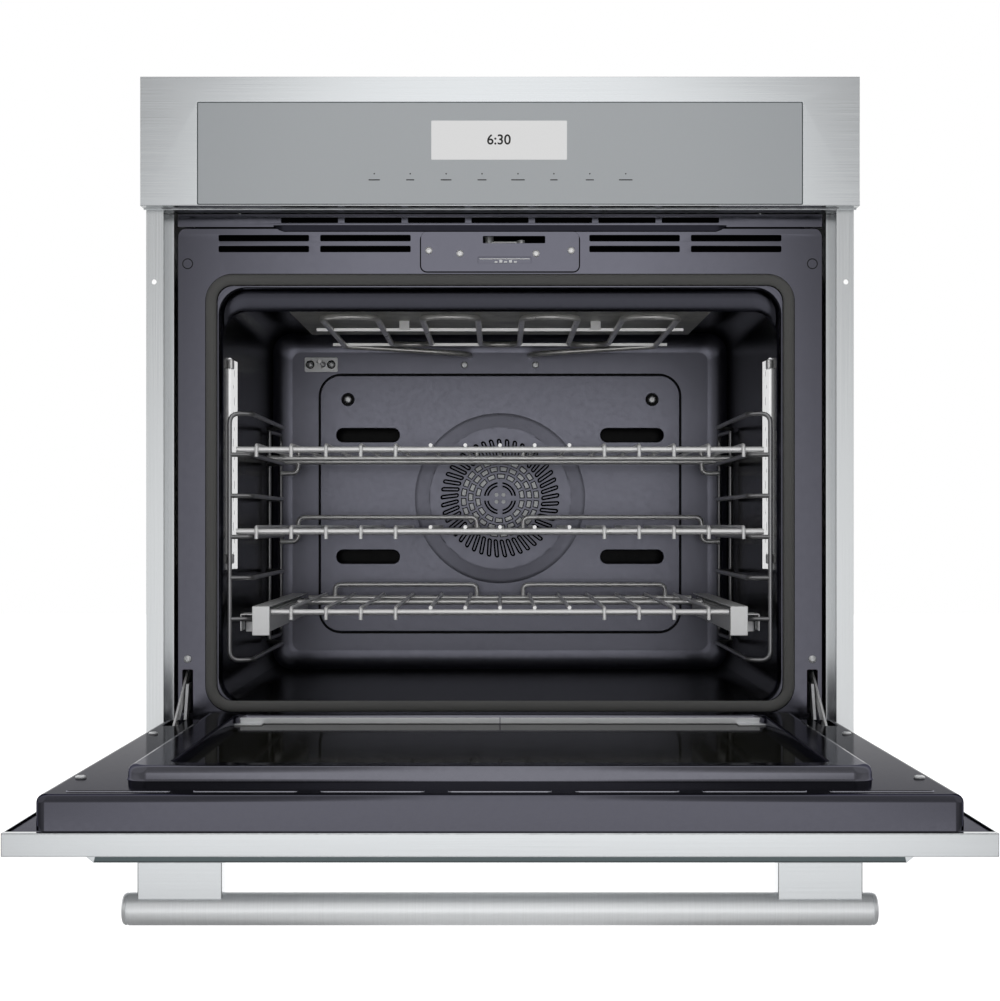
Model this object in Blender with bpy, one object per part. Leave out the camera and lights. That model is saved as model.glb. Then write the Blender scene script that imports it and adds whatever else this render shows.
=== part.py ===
"""Built-in single electric wall oven of the 30 inch class, modelled with its door open.

Sizes are in millimetres and are turned into metres when a mesh is made.
Frame: +X to the right seen from the front, +Y into the oven, +Z up. Y = 0 is the rear face of the
mounting flanges, which lies on the cabinet, and Z = 0 is the underside of the base pan.
The door is described by u, the distance from its hinge towards its top edge, and h, the height over
the hinge with the door open.
"""
import math

import bmesh
import bpy
from mathutils import Matrix, Vector

MM = 0.001
SHEET = 1.2            # steel sheet
GAP = 0.3              # between touching pieces

# casing
WIDTH_HALF = 378.0     # control panel and door
HEIGHT = 740.0
BODY_HALF = 356.6
BODY_TOP = 722.0
BODY_REAR = 577.0
FLANGE_HALF = 375.5
FLANGE_TOP = 603.8

# control panel
PANEL_FRONT = -22.0
PANEL_BOTTOM = 604.4
GLASS_HALF = 318.0
GLASS_TOP = 713.4

# front frame and cavity
FRAME_Y = 28.0
FRAME_HALF = 347.0
FRAME_BOTTOM = 52.0
FRAME_TOP = 588.6
CAVITY_HALF = 300.0
CAVITY_FLOOR = 78.0
CAVITY_CEILING = 522.0
CAVITY_REAR = 498.0
CAVITY_RADIUS = 26.0
CHAMBER_HALF = 226.0   # fan chamber behind the baffle
CHAMBER_BOTTOM = 138.0
CHAMBER_TOP = 456.0
CHAMBER_REAR = 532.0
FAN_Z = 304.2
BAFFLE_VENT_X = 175.3
BAFFLE_VENT_Z = (226.5, 388.0)
PROBE = (-237.7, 481.8)
LAMP_Y = (85.0, 150.0)
LAMP_Z = (222.0, 455.0)
SLOT_X = (331.0, 342.0)
SLOT_Z = (66.0, 113.0)
LATCH_PIVOT = (-12.0, 50.0, 576.0)
BLOWER = (0.0, 330.0)  # the cooling blower's axis

# racks
WIRE = 1.9
GUARD = 2.6            # rear guard arches
BAR = 3.0
RUNG = 2.5
RUNG_PITCH = 44.6
RUNG_TOP = 389.8
RUNG_COUNT = 7
RACK_FRONT = 50.0
RACK_REAR = 452.0
WIRE_PITCH = 37.8
WIRE_STEPS = 7
RACK_LEVELS = {"rack_upper": 351.0, "rack_middle": 261.8}
LOWER_RACK_Z = 174.0

# door
HINGE_Y = -3.0
HINGE_Z = 37.0
DOOR_LENGTH = 564.0
PAN_LOW = -19.0
LINER_HALF = 354.0
LINER_TOP = 27.0
PLUG_TOP = 39.0
PLUG_HALF = 299.4
PLUG_RADIUS = 20.0
PLUG_U = (46.0, 481.0)
WINDOW_HALF = 270.0
WINDOW_U = (79.0, 459.0)
BEZEL_LOW = -28.0
BAR_U = 524.0
BAR_H = -66.5
BAR_RADIUS = 12.7
BAR_HALF = 293.0
POST_X = 247.8
HINGE_X = 337.0        # middle of each hinge
LINK_U = 40.0
LINK_H = 12.0
LINK_TILT = 30.0       # degrees above the horizontal with the door open
LINK_LENGTH = 150.0

PARTS = "wall_oven"
CUTTERS = "cutters"

for leftover in list(bpy.data.objects):
    bpy.data.objects.remove(leftover, do_unlink=True)
for group_name in (PARTS, CUTTERS):
    if group_name not in bpy.data.collections:
        bpy.context.scene.collection.children.link(bpy.data.collections.new(group_name))


# ---------------------------------------------------------------- materials

def material(name, color, roughness, metallic=0.0):
    found = bpy.data.materials.get(name) or bpy.data.materials.new(name)
    found.use_nodes = True
    shader = found.node_tree.nodes["Principled BSDF"]
    shader.inputs["Base Color"].default_value = (*color, 1.0)
    shader.inputs["Roughness"].default_value = roughness
    shader.inputs["Metallic"].default_value = metallic
    return found


def stainless():
    return material("stainless", (0.62, 0.63, 0.64), 0.3, 1.0)


def galvanised():
    return material("galvanised", (0.5, 0.51, 0.52), 0.5, 1.0)


def enamel():
    return material("enamel", (0.1, 0.1, 0.12), 0.2)


def black_paint():
    return material("black_paint", (0.02, 0.02, 0.02), 0.5)


def chrome():
    return material("chrome", (0.75, 0.75, 0.76), 0.15, 1.0)


def dark_wire():
    return material("dark_wire", (0.2, 0.2, 0.21), 0.3, 1.0)


def element_metal():
    return material("element_metal", (0.16, 0.16, 0.17), 0.45, 0.7)


def panel_glass():
    return material("panel_glass", (0.36, 0.38, 0.4), 0.15)


def door_glass():
    return material("door_glass", (0.03, 0.03, 0.03), 0.05)


def rope():
    return material("rope", (0.11, 0.11, 0.1), 0.9)


def fibre():
    return material("fibre", (0.7, 0.66, 0.5), 1.0)


def plastic():
    return material("plastic", (0.05, 0.05, 0.05), 0.6)


# ---------------------------------------------------------------- modelling helpers

def place(name, mesh, location, finish):
    piece = bpy.data.objects.new(name, mesh)
    piece.location = Vector(location) * MM
    if finish is None:
        bpy.data.collections[CUTTERS].objects.link(piece)
        piece.hide_render = True
        piece.display_type = "WIRE"
    else:
        bpy.data.collections[PARTS].objects.link(piece)
        mesh.materials.append(finish)
    return piece


def block(name, low, high, finish=None, radius=0.0, along="Y", steps=4, only=None):
    """A box between two corners. radius rounds its four edges along one axis; only picks
    those whose middle is on the positive (+1) or negative (-1) Z side."""
    low = Vector(low)
    high = Vector(high)
    work = bmesh.new()
    bmesh.ops.create_cube(work, size=1.0)
    bmesh.ops.scale(work, vec=(high - low) * MM, verts=work.verts)
    if radius:
        axis = "XYZ".index(along)
        edges = []
        for edge in work.edges:
            run = edge.verts[1].co - edge.verts[0].co
            middle = (edge.verts[1].co + edge.verts[0].co) / 2
            chosen = only is None or middle.z * only > 0
            if abs(run[axis]) > 0.9 * run.length and chosen:
                edges.append(edge)
        bmesh.ops.bevel(work, geom=edges, offset=radius * MM, segments=steps, profile=0.5,
                        affect="EDGES")
    mesh = bpy.data.meshes.new(name)
    work.to_mesh(mesh)
    work.free()
    return place(name, mesh, (low + high) / 2, finish)


def rod(name, centre, radius, length, along, finish=None, segments=20):
    """A cylinder about its centre."""
    work = bmesh.new()
    bmesh.ops.create_cone(work, cap_ends=True, segments=segments, radius1=radius * MM,
                          radius2=radius * MM, depth=length * MM)
    turn = {"X": Matrix.Rotation(math.pi / 2, 4, "Y"), "Y": Matrix.Rotation(math.pi / 2, 4, "X"),
            "Z": Matrix.Identity(4)}[along]
    bmesh.ops.transform(work, matrix=turn, verts=work.verts)
    mesh = bpy.data.meshes.new(name)
    work.to_mesh(mesh)
    work.free()
    mesh.shade_smooth()
    mesh.set_sharp_from_angle(angle=math.radians(40))
    return place(name, mesh, centre, finish)


def outline(name, points, thickness, location, finish=None):
    """A flat plate in the YZ plane, from (y, z) points, with its thickness along X."""
    curve = bpy.data.curves.new(name, "CURVE")
    curve.dimensions = "2D"
    curve.fill_mode = "BOTH"
    curve.extrude = thickness / 2 * MM
    spline = curve.splines.new("POLY")
    spline.points.add(len(points) - 1)
    for spot, (y, z) in zip(spline.points, points):
        spot.co = (y * MM, z * MM, 0.0, 1.0)
    spline.use_cyclic_u = True
    turn = Matrix(((0, 0, 1, 0), (1, 0, 0, 0), (0, 1, 0, 0), (0, 0, 0, 1)))
    return curve_to_piece(name, curve, location, finish, turn)


def tubes(name, paths, radius, location=(0, 0, 0), finish=None, closed=False, sides=1):
    """Round wires along lists of points, as one object."""
    curve = bpy.data.curves.new(name, "CURVE")
    curve.dimensions = "3D"
    curve.bevel_depth = radius * MM
    curve.bevel_resolution = sides
    curve.use_fill_caps = True
    for path in paths:
        spline = curve.splines.new("POLY")
        spline.points.add(len(path) - 1)
        for spot, point in zip(spline.points, path):
            spot.co = (*(Vector(point) * MM), 1.0)
        spline.use_cyclic_u = closed
    return curve_to_piece(name, curve, location, finish, Matrix.Identity(4))


def curve_to_piece(name, curve, location, finish, turn):
    guide = bpy.data.objects.new(name + "_curve", curve)
    bpy.context.scene.collection.objects.link(guide)
    graph = bpy.context.evaluated_depsgraph_get()
    mesh = bpy.data.meshes.new_from_object(guide.evaluated_get(graph))
    bpy.data.objects.remove(guide, do_unlink=True)
    mesh.name = name
    mesh.transform(turn)
    work = bmesh.new()
    work.from_mesh(mesh)
    bmesh.ops.remove_doubles(work, verts=work.verts, dist=0.00001)
    bmesh.ops.recalc_face_normals(work, faces=work.faces)
    work.to_mesh(mesh)
    work.free()
    mesh.materials.clear()
    mesh.shade_smooth()
    mesh.set_sharp_from_angle(angle=math.radians(50))
    return place(name, mesh, location, finish)


def combine(piece, tool, operation):
    step = piece.modifiers.new(operation.lower(), "BOOLEAN")
    step.operation = operation
    step.solver = "EXACT"
    step.object = tool
    return piece


def cut(piece, *tools):
    for tool in tools:
        combine(piece, tool, "DIFFERENCE")
    return piece


def add(piece, *tools):
    for tool in tools:
        combine(piece, tool, "UNION")
    return piece


def rounded(points, radius, steps=3):
    """The path through points with each inner corner turned on an arc."""
    path = [Vector(points[0])]
    for before, corner, after in zip(points, points[1:], points[2:]):
        corner = Vector(corner)
        to_before = (Vector(before) - corner)
        to_after = (Vector(after) - corner)
        reach = min(radius, 0.45 * to_before.length, 0.45 * to_after.length)
        start = corner + to_before.normalized() * reach
        end = corner + to_after.normalized() * reach
        for step in range(steps + 1):
            t = step / steps
            path.append(start * (1 - t) ** 2 + corner * 2 * t * (1 - t) + end * t ** 2)
    path.append(Vector(points[-1]))
    return path


def side_name(side):
    return "left" if side < 0 else "right"


def span(side, near, far):
    """The X range from near to far on one side, in rising order."""
    return sorted((side * near, side * far))


def side_block(name, side, near, far, y_range, z_range, finish=None, **rounding):
    x_low, x_high = span(side, near, far)
    low = (x_low, y_range[0], z_range[0])
    high = (x_high, y_range[1], z_range[1])
    return block(name, low, high, finish, **rounding)


# ---------------------------------------------------------------- casing

def make_base_pan():
    pan = block("base_pan", (-BODY_HALF, -4, 0), (BODY_HALF, BODY_REAR, 14), galvanised())
    cut(pan, block("base_pan_inside", (-BODY_HALF + SHEET, -4 + SHEET, SHEET),
                   (BODY_HALF - SHEET, BODY_REAR - SHEET, 30)))


def make_side_panel(side):
    side_block("side_panel_" + side_name(side), side, 357.2, 358.4, (32, BODY_REAR - 1), (2, BODY_TOP),
               galvanised())


def make_top_cover():
    cover = block("top_cover", (-BODY_HALF, 2, 706), (BODY_HALF, BODY_REAR - 2, BODY_TOP),
                  galvanised())
    cut(cover, block("top_cover_inside", (-BODY_HALF + SHEET, 2 + SHEET, 700),
                     (BODY_HALF - SHEET, BODY_REAR - 2 - SHEET, BODY_TOP - SHEET)))
    for index in range(6):
        x = -150 + 60 * index
        cut(cover, block(f"top_cover_louvre_{index}", (x, 380, 715), (x + 40, 386, 730)))


def make_rear_cover():
    cover = block("rear_cover", (-BODY_HALF, BODY_REAR - 1.5, 14.5), (BODY_HALF, BODY_REAR, 721.5),
                  galvanised())
    for row in range(3):
        for index in range(5):
            x = -130 + 60 * index
            z = 640 - 14 * row
            tool = block(f"rear_louvre_{row}_{index}", (x, BODY_REAR - 9, z), (x + 40, BODY_REAR + 9, z + 6))
            cut(cover, tool)
    cut(cover, rod("rear_cable_hole", (-250, BODY_REAR, 650), 14.5, 20, "Y"))


def make_cable_gland():
    gland = rod("cable_gland", (-250, BODY_REAR + 2, 650), 14, 24, "Y", galvanised())
    add(gland, rod("gland_collar", (-250, BODY_REAR + 5, 650), 19, 8, "Y", segments=6))
    cut(gland, rod("gland_bore", (-250, BODY_REAR, 650), 10, 60, "Y"))


def make_mounting_flange(side):
    name = "mounting_flange_" + side_name(side)
    flange = side_block(name, side, 357.2, FLANGE_HALF, (-1.5, 0), (15, FLANGE_TOP), stainless())
    inner = side_block(name + "_return", side, 357.2, 358.6, (-0.7, 31.6), (15, FLANGE_TOP))
    lip = side_block(name + "_lip", side, 351.6, 357.9, (30.2, 31.6), (15, FLANGE_TOP))
    add(flange, inner, lip)
    for index, z in enumerate((28.0, 527.0)):
        cut(flange, rod(f"{name}_hole_{index}", (side * 367.2, -1, z), 2.7, 10, "Y", segments=16))


def make_bottom_trim():
    trim = block("bottom_trim", (-FRAME_HALF, 25, 15), (FRAME_HALF, 26.5, 51), black_paint())
    for index in range(7):
        x = -274 + 80 * index
        cut(trim, block(f"trim_slot_{index}", (x, 10, 28), (x + 62, 30, 34)))


# ---------------------------------------------------------------- control panel

def make_control_panel():
    panel = block("control_panel_frame", (-WIDTH_HALF, PANEL_FRONT, PANEL_BOTTOM),
                  (WIDTH_HALF, -0.6, HEIGHT), stainless())
    cut(panel, block("panel_inside", (-WIDTH_HALF + SHEET, PANEL_FRONT + SHEET, PANEL_BOTTOM + SHEET),
                     (WIDTH_HALF - SHEET, 10, HEIGHT - SHEET)))
    cut(panel, block("panel_window", (-GLASS_HALF, -40, PANEL_BOTTOM + 1.2),
                     (GLASS_HALF, PANEL_FRONT + 5, GLASS_TOP)))
    add(panel, block("panel_shelf", (-355, -12, PANEL_BOTTOM), (355, 27.5, PANEL_BOTTOM + SHEET)))


def make_control_glass():
    block("control_glass", (-GLASS_HALF + GAP, PANEL_FRONT + 0.6, PANEL_BOTTOM + 1.6),
          (GLASS_HALF - GAP, PANEL_FRONT + 4.6, GLASS_TOP - GAP), panel_glass())


def make_control_housing():
    housing = block("control_housing", (-310, PANEL_FRONT + 5.2, 608), (310, 15, 703), plastic())
    cut(housing, block("housing_inside", (-308, -40, 610), (308, 13, 701)))


def make_control_board():
    board = block("control_board", (-160, -8, 620), (160, -6.4, 694), plastic())
    add(board, block("display_module", (-72, -16, 652.8), (70.4, -7, 693.8)))
    add(board, block("relay_block", (96, -7, 632), (146, 8, 668)))


def make_vent_grille():
    grille = block("vent_grille", (-FRAME_HALF, FRAME_Y, 590), (FRAME_HALF, FRAME_Y + 1.5, 603.6),
                   enamel())
    for index in range(-3, 4):
        x = 68.4 * index
        cut(grille, block(f"grille_slot_{index + 3}", (x - 30.5, 20, 594.6), (x + 30.5, 40, 600.5)))


def make_vent_lip():
    block("vent_lip", (-244, 24.5, 584.8), (244, FRAME_Y - 0.6, 591.6), black_paint(), radius=1.4,
          along="X", steps=2)


# ---------------------------------------------------------------- frame, cavity and its lining

def make_front_frame():
    frame = block("front_frame", (-FRAME_HALF, FRAME_Y, FRAME_BOTTOM), (FRAME_HALF, 38, FRAME_TOP),
                  enamel(), radius=14, only=1)
    cut(frame, block("frame_inside", (-FRAME_HALF + 1.5, FRAME_Y + 1.5, FRAME_BOTTOM + 1.5),
                     (FRAME_HALF - 1.5, 60, FRAME_TOP - 1.5), radius=12.5, only=1))
    cut(frame, block("frame_mouth", (-CAVITY_HALF, 10, CAVITY_FLOOR),
                     (CAVITY_HALF, 60, CAVITY_CEILING), radius=CAVITY_RADIUS, steps=6))
    for row, z in enumerate((566.3, 578.1)):
        for index, x in enumerate((-254.5, -145.0, 145.0, 254.5)):
            cut(frame, block(f"frame_vent_{row}_{index}", (x - 48.5, 20, z - 3.2), (x + 48.5, 35, z + 3.2)))
    for side in (-1, 1):
        cut(frame, side_block(f"frame_hinge_slot_{side_name(side)}", side, *SLOT_X, (20, 35), SLOT_Z))
    cut(frame, block("frame_latch_slot", (-18.3, 20, 572.4), (48.5, 35, 580)))


def make_latch_plate():
    plate = block("latch_plate", (-85.2, FRAME_Y - 1.5, 541.8), (85.2, FRAME_Y - GAP, 582.2), enamel(),
                  radius=6.5, only=-1, steps=3)
    cut(plate, block("plate_latch_slot", (-18.3, 20, 572.4), (48.5, 35, 580)))


def make_latch_hook():
    x, y, z = LATCH_PIVOT
    hook = block("latch_hook", (x - 4, y - 4, z - 1.4), (x + 38, y + 4, z + 1.4), chrome())
    add(hook, block("latch_tip", (x + 32, y - 8, z - 1.4), (x + 38, y, z + 1.4)))
    add(hook, rod("latch_boss", (x, y, z + 2), 5, 12, "Z", segments=12))
    frame_at_axis(hook, LATCH_PIVOT)


def make_latch_motor():
    x, y, z = LATCH_PIVOT
    motor = rod("latch_motor", (x, y, z + 21), 11, 22, "Z", galvanised())
    add(motor, block("latch_motor_tab", (x - 28, y - 2, z + 24), (x + 28, y + 2, z + 27)))


def frame_at_axis(piece, point):
    """Moves an object's origin to a point on its joint's axis, leaving its shape in place."""
    shift = Vector(point) * MM - piece.location
    piece.data.transform(Matrix.Translation(-shift))
    piece.location = Vector(point) * MM


def liner_outer(name, grow, finish=None):
    """The liner's outer form, grown by a clearance: the cavity and the fan chamber behind it."""
    body = block(name, (-CAVITY_HALF - grow, FRAME_Y + 1.8, CAVITY_FLOOR - grow),
                 (CAVITY_HALF + grow, CAVITY_REAR + grow, CAVITY_CEILING + grow), finish,
                 radius=CAVITY_RADIUS + grow, steps=6)
    add(body, block(name + "_chamber", (-CHAMBER_HALF - grow, 480, CHAMBER_BOTTOM - grow),
                    (CHAMBER_HALF + grow, CHAMBER_REAR + grow, CHAMBER_TOP + grow)))
    return body


def make_cavity_liner():
    liner = liner_outer("cavity_liner", 1.5, enamel())
    cut(liner, block("cavity_space", (-CAVITY_HALF, 0, CAVITY_FLOOR),
                     (CAVITY_HALF, CAVITY_REAR, CAVITY_CEILING), radius=CAVITY_RADIUS, steps=6))
    cut(liner, block("chamber_space", (-CHAMBER_HALF, 470, CHAMBER_BOTTOM),
                     (CHAMBER_HALF, CHAMBER_REAR, CHAMBER_TOP)))
    for side in (-1, 1):
        cut(liner, side_block("lamp_opening_" + side_name(side), side, 280, 320, LAMP_Y, LAMP_Z))
        cut(liner, rod("element_exit_" + side_name(side), (side * 40, CAVITY_REAR, 494), 5, 30, "Y",
                       segments=12))
    cut(liner, rod("shaft_exit", (0, CHAMBER_REAR, FAN_Z), 7, 30, "Y", segments=16))


def make_gasket():
    half = CAVITY_HALF + 10.6
    low = CAVITY_FLOOR - 4.0
    high = CAVITY_CEILING + 10.6
    radius = 23.0
    path = []
    corners = ((half, high, 0), (-half, high, 90), (-half, low, 180), (half, low, 270))
    for x, z, start in corners:
        centre = Vector((x - math.copysign(radius, x), 0, z - math.copysign(radius, z - 200)))
        for step in range(7):
            angle = math.radians(start + 15 * step)
            path.append(centre + Vector((math.cos(angle), 0, math.sin(angle))) * radius)
    width = 6.0
    depth = 1.6            # pressed flat, as the closed door leaves it
    seal = tubes("gasket", [path], width, (0, FRAME_Y - GAP - depth, 0), rope(), closed=True)
    seal.data.transform(Matrix.Diagonal((1.0, depth / width, 1.0, 1.0)))


def make_insulation():
    wrap = block("insulation", (-325, 40, 44), (325, 562, 552), fibre())
    cut(wrap, liner_outer("insulation_space", 2.6))
    cut(wrap, block("bake_space", (-290, 20, 56), (290, 490, 90)))
    cut(wrap, block("insulation_mouth", (-302.7, 20, 75.3), (302.7, 90, 524.7)))
    cut(wrap, rod("motor_space", (0, 560, FAN_Z), 42, 60, "Y"))
    for side in (-1, 1):
        cut(wrap, side_block("lamp_space_" + side_name(side), side, 290, 340, (80, 156), (216, 461)))
        cut(wrap, rod("lead_space_" + side_name(side), (side * 40, 540, 494), 8, 100, "Y", segments=12))


def make_lamp(side):
    name = "oven_lamp_" + side_name(side)
    lens = side_block(name, side, 297.2, 299.6, (79, 156), (216, 461), door_glass())
    add(lens, side_block(name + "_body", side, 299, 318, (87, 148), (224, 453)))
    cut(lens, side_block(name + "_hollow", side, 301.5, 330, (89, 146), (226, 451)))


def make_fan_baffle():
    baffle = block("fan_baffle", (-239, 492.5, 126.7), (239, CAVITY_REAR - GAP, 467.8), enamel(),
                   radius=28, steps=4)
    cut(baffle, block("baffle_hollow", (-225, 494, 139), (225, 520, 455), radius=20, steps=3))
    for index in range(18):
        angle = 2 * math.pi * index / 18
        tool = block(f"baffle_slot_{index}", (54, 480, -4.5), (76, 510, 4.5))
        tool.location = (0, 495 * MM, FAN_Z * MM)
        tool.data.transform(Matrix.Translation((65 * MM, 0, 0)))
        tool.rotation_euler = (0, angle, 0)
        cut(baffle, tool)
    for level, z in enumerate(BAFFLE_VENT_Z):
        for side in (-1, 1):
            x = side * BAFFLE_VENT_X
            cut(baffle, block(f"baffle_vent_{level}_{side_name(side)}", (x - 41, 480, z - 8.5),
                              (x + 41, 510, z + 8.5)))


def make_fan():
    fan = rod("convection_fan", (0, 521, FAN_Z), 72, 1.5, "Y", galvanised(), segments=32)
    for index in range(10):
        angle = 2 * math.pi * index / 10
        blade = block(f"fan_blade_{index}", (-1, -15, 22), (1, 0.4, 71))
        blade.data.transform(Matrix.Translation((0, -7.3 * MM, 46.5 * MM)))
        blade.location = (0, 521 * MM, FAN_Z * MM)
        blade.rotation_euler = (0, angle, 0)
        add(fan, blade)
    add(fan, rod("fan_hub", (0, 517, FAN_Z), 10, 14, "Y", segments=16))
    add(fan, rod("fan_shaft", (0, 530, FAN_Z), 4, 26, "Y", segments=12))


def make_fan_motor():
    motor = rod("fan_motor", (0, 560, FAN_Z), 34, 24, "Y", galvanised(), segments=24)
    add(motor, block("fan_motor_strap", (-52, 566, FAN_Z - 9), (52, 569, FAN_Z + 9)))
    cut(motor, rod("fan_motor_bearing", (0, 545, FAN_Z), 5, 20, "Y", segments=12))


def ring_path(radius, count, gap_angle=0.0):
    """Points round a circle in the XZ plane, leaving an opening at the top."""
    path = []
    for step in range(count + 1):
        angle = math.pi / 2 + gap_angle + (2 * math.pi - 2 * gap_angle) * step / count
        path.append(Vector((radius * math.cos(angle), 0, radius * math.sin(angle))))
    return path


def make_convection_element():
    ring = ring_path(98, 28, 0.16)
    start = ring[0] + Vector((0, 0, 18))
    end = ring[-1] + Vector((0, 0, 18))
    tubes("convection_element", [[start] + ring + [end]], 3.6, (0, 512, FAN_Z), element_metal())


def serpentine(x_half, y_front, y_rear, loops):
    """A heating rod's path: hairpins that run back and forth from one side to the other."""
    path = []
    pitch = 2 * x_half / (2 * loops - 1)
    for run in range(2 * loops):
        x = -x_half + pitch * run
        ends = (y_rear, y_front) if run % 2 == 0 else (y_front, y_rear)
        path += [(x, ends[0], 0), (x, ends[1], 0)]
    return path


def make_broil_element():
    runs = serpentine(201.7, 106, 428, 4)
    middle = 40.0
    path = [(-middle, 514, -8), (-middle, 455, -8), (-160, 440, -8), (-201.7, 440, 0)]
    path += runs[1:-1]
    path += [(201.7, 440, 0), (160, 440, -8), (middle, 455, -8), (middle, 514, -8)]
    tubes("broil_element", [rounded(path, 22, 3)], 3.3, (0, 0, 502), element_metal())


def make_bake_element():
    runs = serpentine(230, 80, 450, 3)
    tubes("bake_element", [rounded(runs, 30, 3)], 3.3, (0, 0, 66), element_metal())


def make_probe():
    x, z = PROBE
    probe = block("temperature_probe", (x - 22, 494.6, z - 9.8), (x + 22, CAVITY_REAR - GAP, z + 9.8),
                  chrome())
    add(probe, rod("probe_stem", (x + 4, 470, z), 2.4, 52, "Y", segments=10))


# ---------------------------------------------------------------- side racks, racks and slides

def make_side_rack(side):
    """A ladder: its front wire runs into the top and bottom rungs, and a loop holds the rear."""
    name = "side_rack_" + side_name(side)
    low = RUNG_TOP - RUNG_PITCH * (RUNG_COUNT - 1)
    wall = side * 293
    shelf = side * 270
    front = 40
    rear = 388

    def rung(z):
        return [(wall, front, z), (shelf, front + 8, z), (shelf, 346, z), (wall, 366, z), (wall, rear, z)]

    outer = rounded(rung(low)[::-1] + rung(RUNG_TOP), 9, 2)
    ladder = tubes(name, [outer], RUNG, finish=dark_wire())
    inner = [rounded(rung(RUNG_TOP - RUNG_PITCH * index), 8, 2) for index in range(1, RUNG_COUNT - 1)]
    add(ladder, tubes(name + "_rungs", inner, RUNG))
    uprights = [[(wall, rear, low - 1), (wall, rear, RUNG_TOP + 1)],
                [(side * 288, 468, low - 1), (side * 288, 468, RUNG_TOP + 1)]]
    for z in (low + 3, RUNG_TOP - 3):
        add(ladder, tubes(f"{name}_tie_{z:.0f}", [[(wall, rear - 1, z), (side * 288, 469, z)]], RUNG))
    add(ladder, tubes(name + "_rear", uprights, RUNG))


def rack_wires(half_steps, hooks_from, level, front=RACK_FRONT, rear=RACK_REAR):
    """The long wires. From hooks_from outwards each turns down over the front bar."""
    wires = []
    over = level + BAR + WIRE - 0.5
    for step in range(-half_steps, half_steps + 1):
        x = WIRE_PITCH * step
        if abs(step) >= hooks_from:
            nose = [(x, front - 5.6, level - 3), (x, front - 5.6, over)]
            wires.append(rounded(nose + [(x, rear, over)], 5, 2))
        else:
            wires.append([(x, front - 1.0, over), (x, rear, over)])
    return wires


def make_rack(name, level, half, steps, hooks_from, arch_half, hooks):
    """A wire rack: long wires over three cross bars, with guard arches at the rear."""
    rack = tubes(name, rack_wires(steps, hooks_from, level), WIRE, finish=chrome(), sides=0)
    middle = RACK_FRONT + (RACK_REAR - RACK_FRONT) * 0.66
    bars = [[(-half, y, level), (half, y, level)] for y in (RACK_FRONT, middle, RACK_REAR - 4)]
    add(rack, tubes(name + "_bars", bars, BAR))
    guards = []
    y = RACK_REAR - 4
    top = level + 17
    for side in (-1, 1):
        foot = [(side * 30, y, level), (side * 30, y, top)]
        if hooks:
            rest = [(side * 263, y, top), (side * 263, y, level - 15), (side * 286, y, level - 15)]
        else:
            rest = [(side * arch_half, y, top), (side * arch_half, y, level)]
        guards.append(rounded(foot + rest, 7, 2))
    add(rack, tubes(name + "_guards", guards, GUARD))
    return rack


def channel(name, side, near, far, z_range, y_range, finish, open_far=False, wall=1.2):
    """A rolled slide member: a C section with its mouth towards the rack, or away from it."""
    piece = side_block(name, side, near, far, y_range, z_range, finish)
    inner_near = near + wall if open_far else near - 5
    inner_far = far + 5 if open_far else far - wall
    cut(piece, side_block(name + "_mouth", side, inner_near, inner_far,
                          (y_range[0] - 5, y_range[1] + 5), (z_range[0] + wall, z_range[1] - wall)))
    return piece


def make_rack_slide(side):
    """Outer member fixed to the side rack, middle member, and inner member under the rack."""
    tag = side_name(side)
    low = LOWER_RACK_Z - 25
    high = LOWER_RACK_Z + 4
    outer = channel("rack_slide_outer_" + tag, side, 258.5, 266.6, (low, high), (46, 440), chrome())
    for index, y in enumerate((80.0, 340.0)):
        bracket = side_block(f"slide_clip_{tag}_{index}", side, 265.8, 281, (y, y + 26),
                             (low + 2, low + 13.4))
        add(outer, bracket)
    channel("rack_slide_middle_" + tag, side, 254.4, 264.6, (low + 2.4, high - 2.4), (44, 430), chrome(),
            open_far=True)
    inner = side_block("rack_slide_inner_" + tag, side, 249.6, 253.6, (41, 440), (low + 4, high - 4),
                       chrome())
    add(inner, side_block(f"slide_nose_{tag}", side, 249.6, 268.6, (38.8, 41.4), (low, high + 2.8)))
    add(inner, side_block(f"slide_cover_{tag}", side, 249.6, 268.6, (38.8, 430), (high + 1.6, high + 2.8)))


# ---------------------------------------------------------------- cooling blower

def make_blower_housing():
    x, y = BLOWER
    housing = rod("blower_housing", (x, y, 622), 92, 44, "Z", galvanised(), segments=32)
    add(housing, block("blower_outlet", (x - 92, y - 150, 600.01), (x, y, 643.99)))
    cut(housing, rod("blower_inside", (x, y, 622), 90.5, 41, "Z", segments=32))
    cut(housing, block("blower_outlet_inside", (x - 90.5, y - 170, 601.5), (x - 1.5, y + 1, 642.5)))
    cut(housing, rod("blower_intake", (x, y, 645), 48, 20, "Z", segments=24))


def make_blower_wheel():
    x, y = BLOWER
    wheel = rod("blower_wheel", (x, y, 606), 78, 1.6, "Z", galvanised(), segments=32)
    for index in range(14):
        angle = 2 * math.pi * index / 14
        vane = block(f"blower_vane_{index}", (-1, -9, 0), (1, 9, 30))
        vane.data.transform(Matrix.Translation((0, 66 * MM, 15 * MM)))
        vane.location = (x * MM, y * MM, 606.4 * MM)
        vane.rotation_euler = (0, 0, angle)
        add(wheel, vane)
    add(wheel, rod("blower_hub", (x, y, 615), 9, 20, "Z", segments=16))
    add(wheel, rod("blower_shaft", (x, y, 640), 4, 40, "Z", segments=12))


def make_blower_motor():
    x, y = BLOWER
    motor = rod("blower_motor", (x, y, 675), 36, 40, "Z", galvanised(), segments=24)
    cut(motor, rod("blower_motor_bearing", (x, y, 655), 5, 22, "Z", segments=12))


# ---------------------------------------------------------------- door, built open

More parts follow.
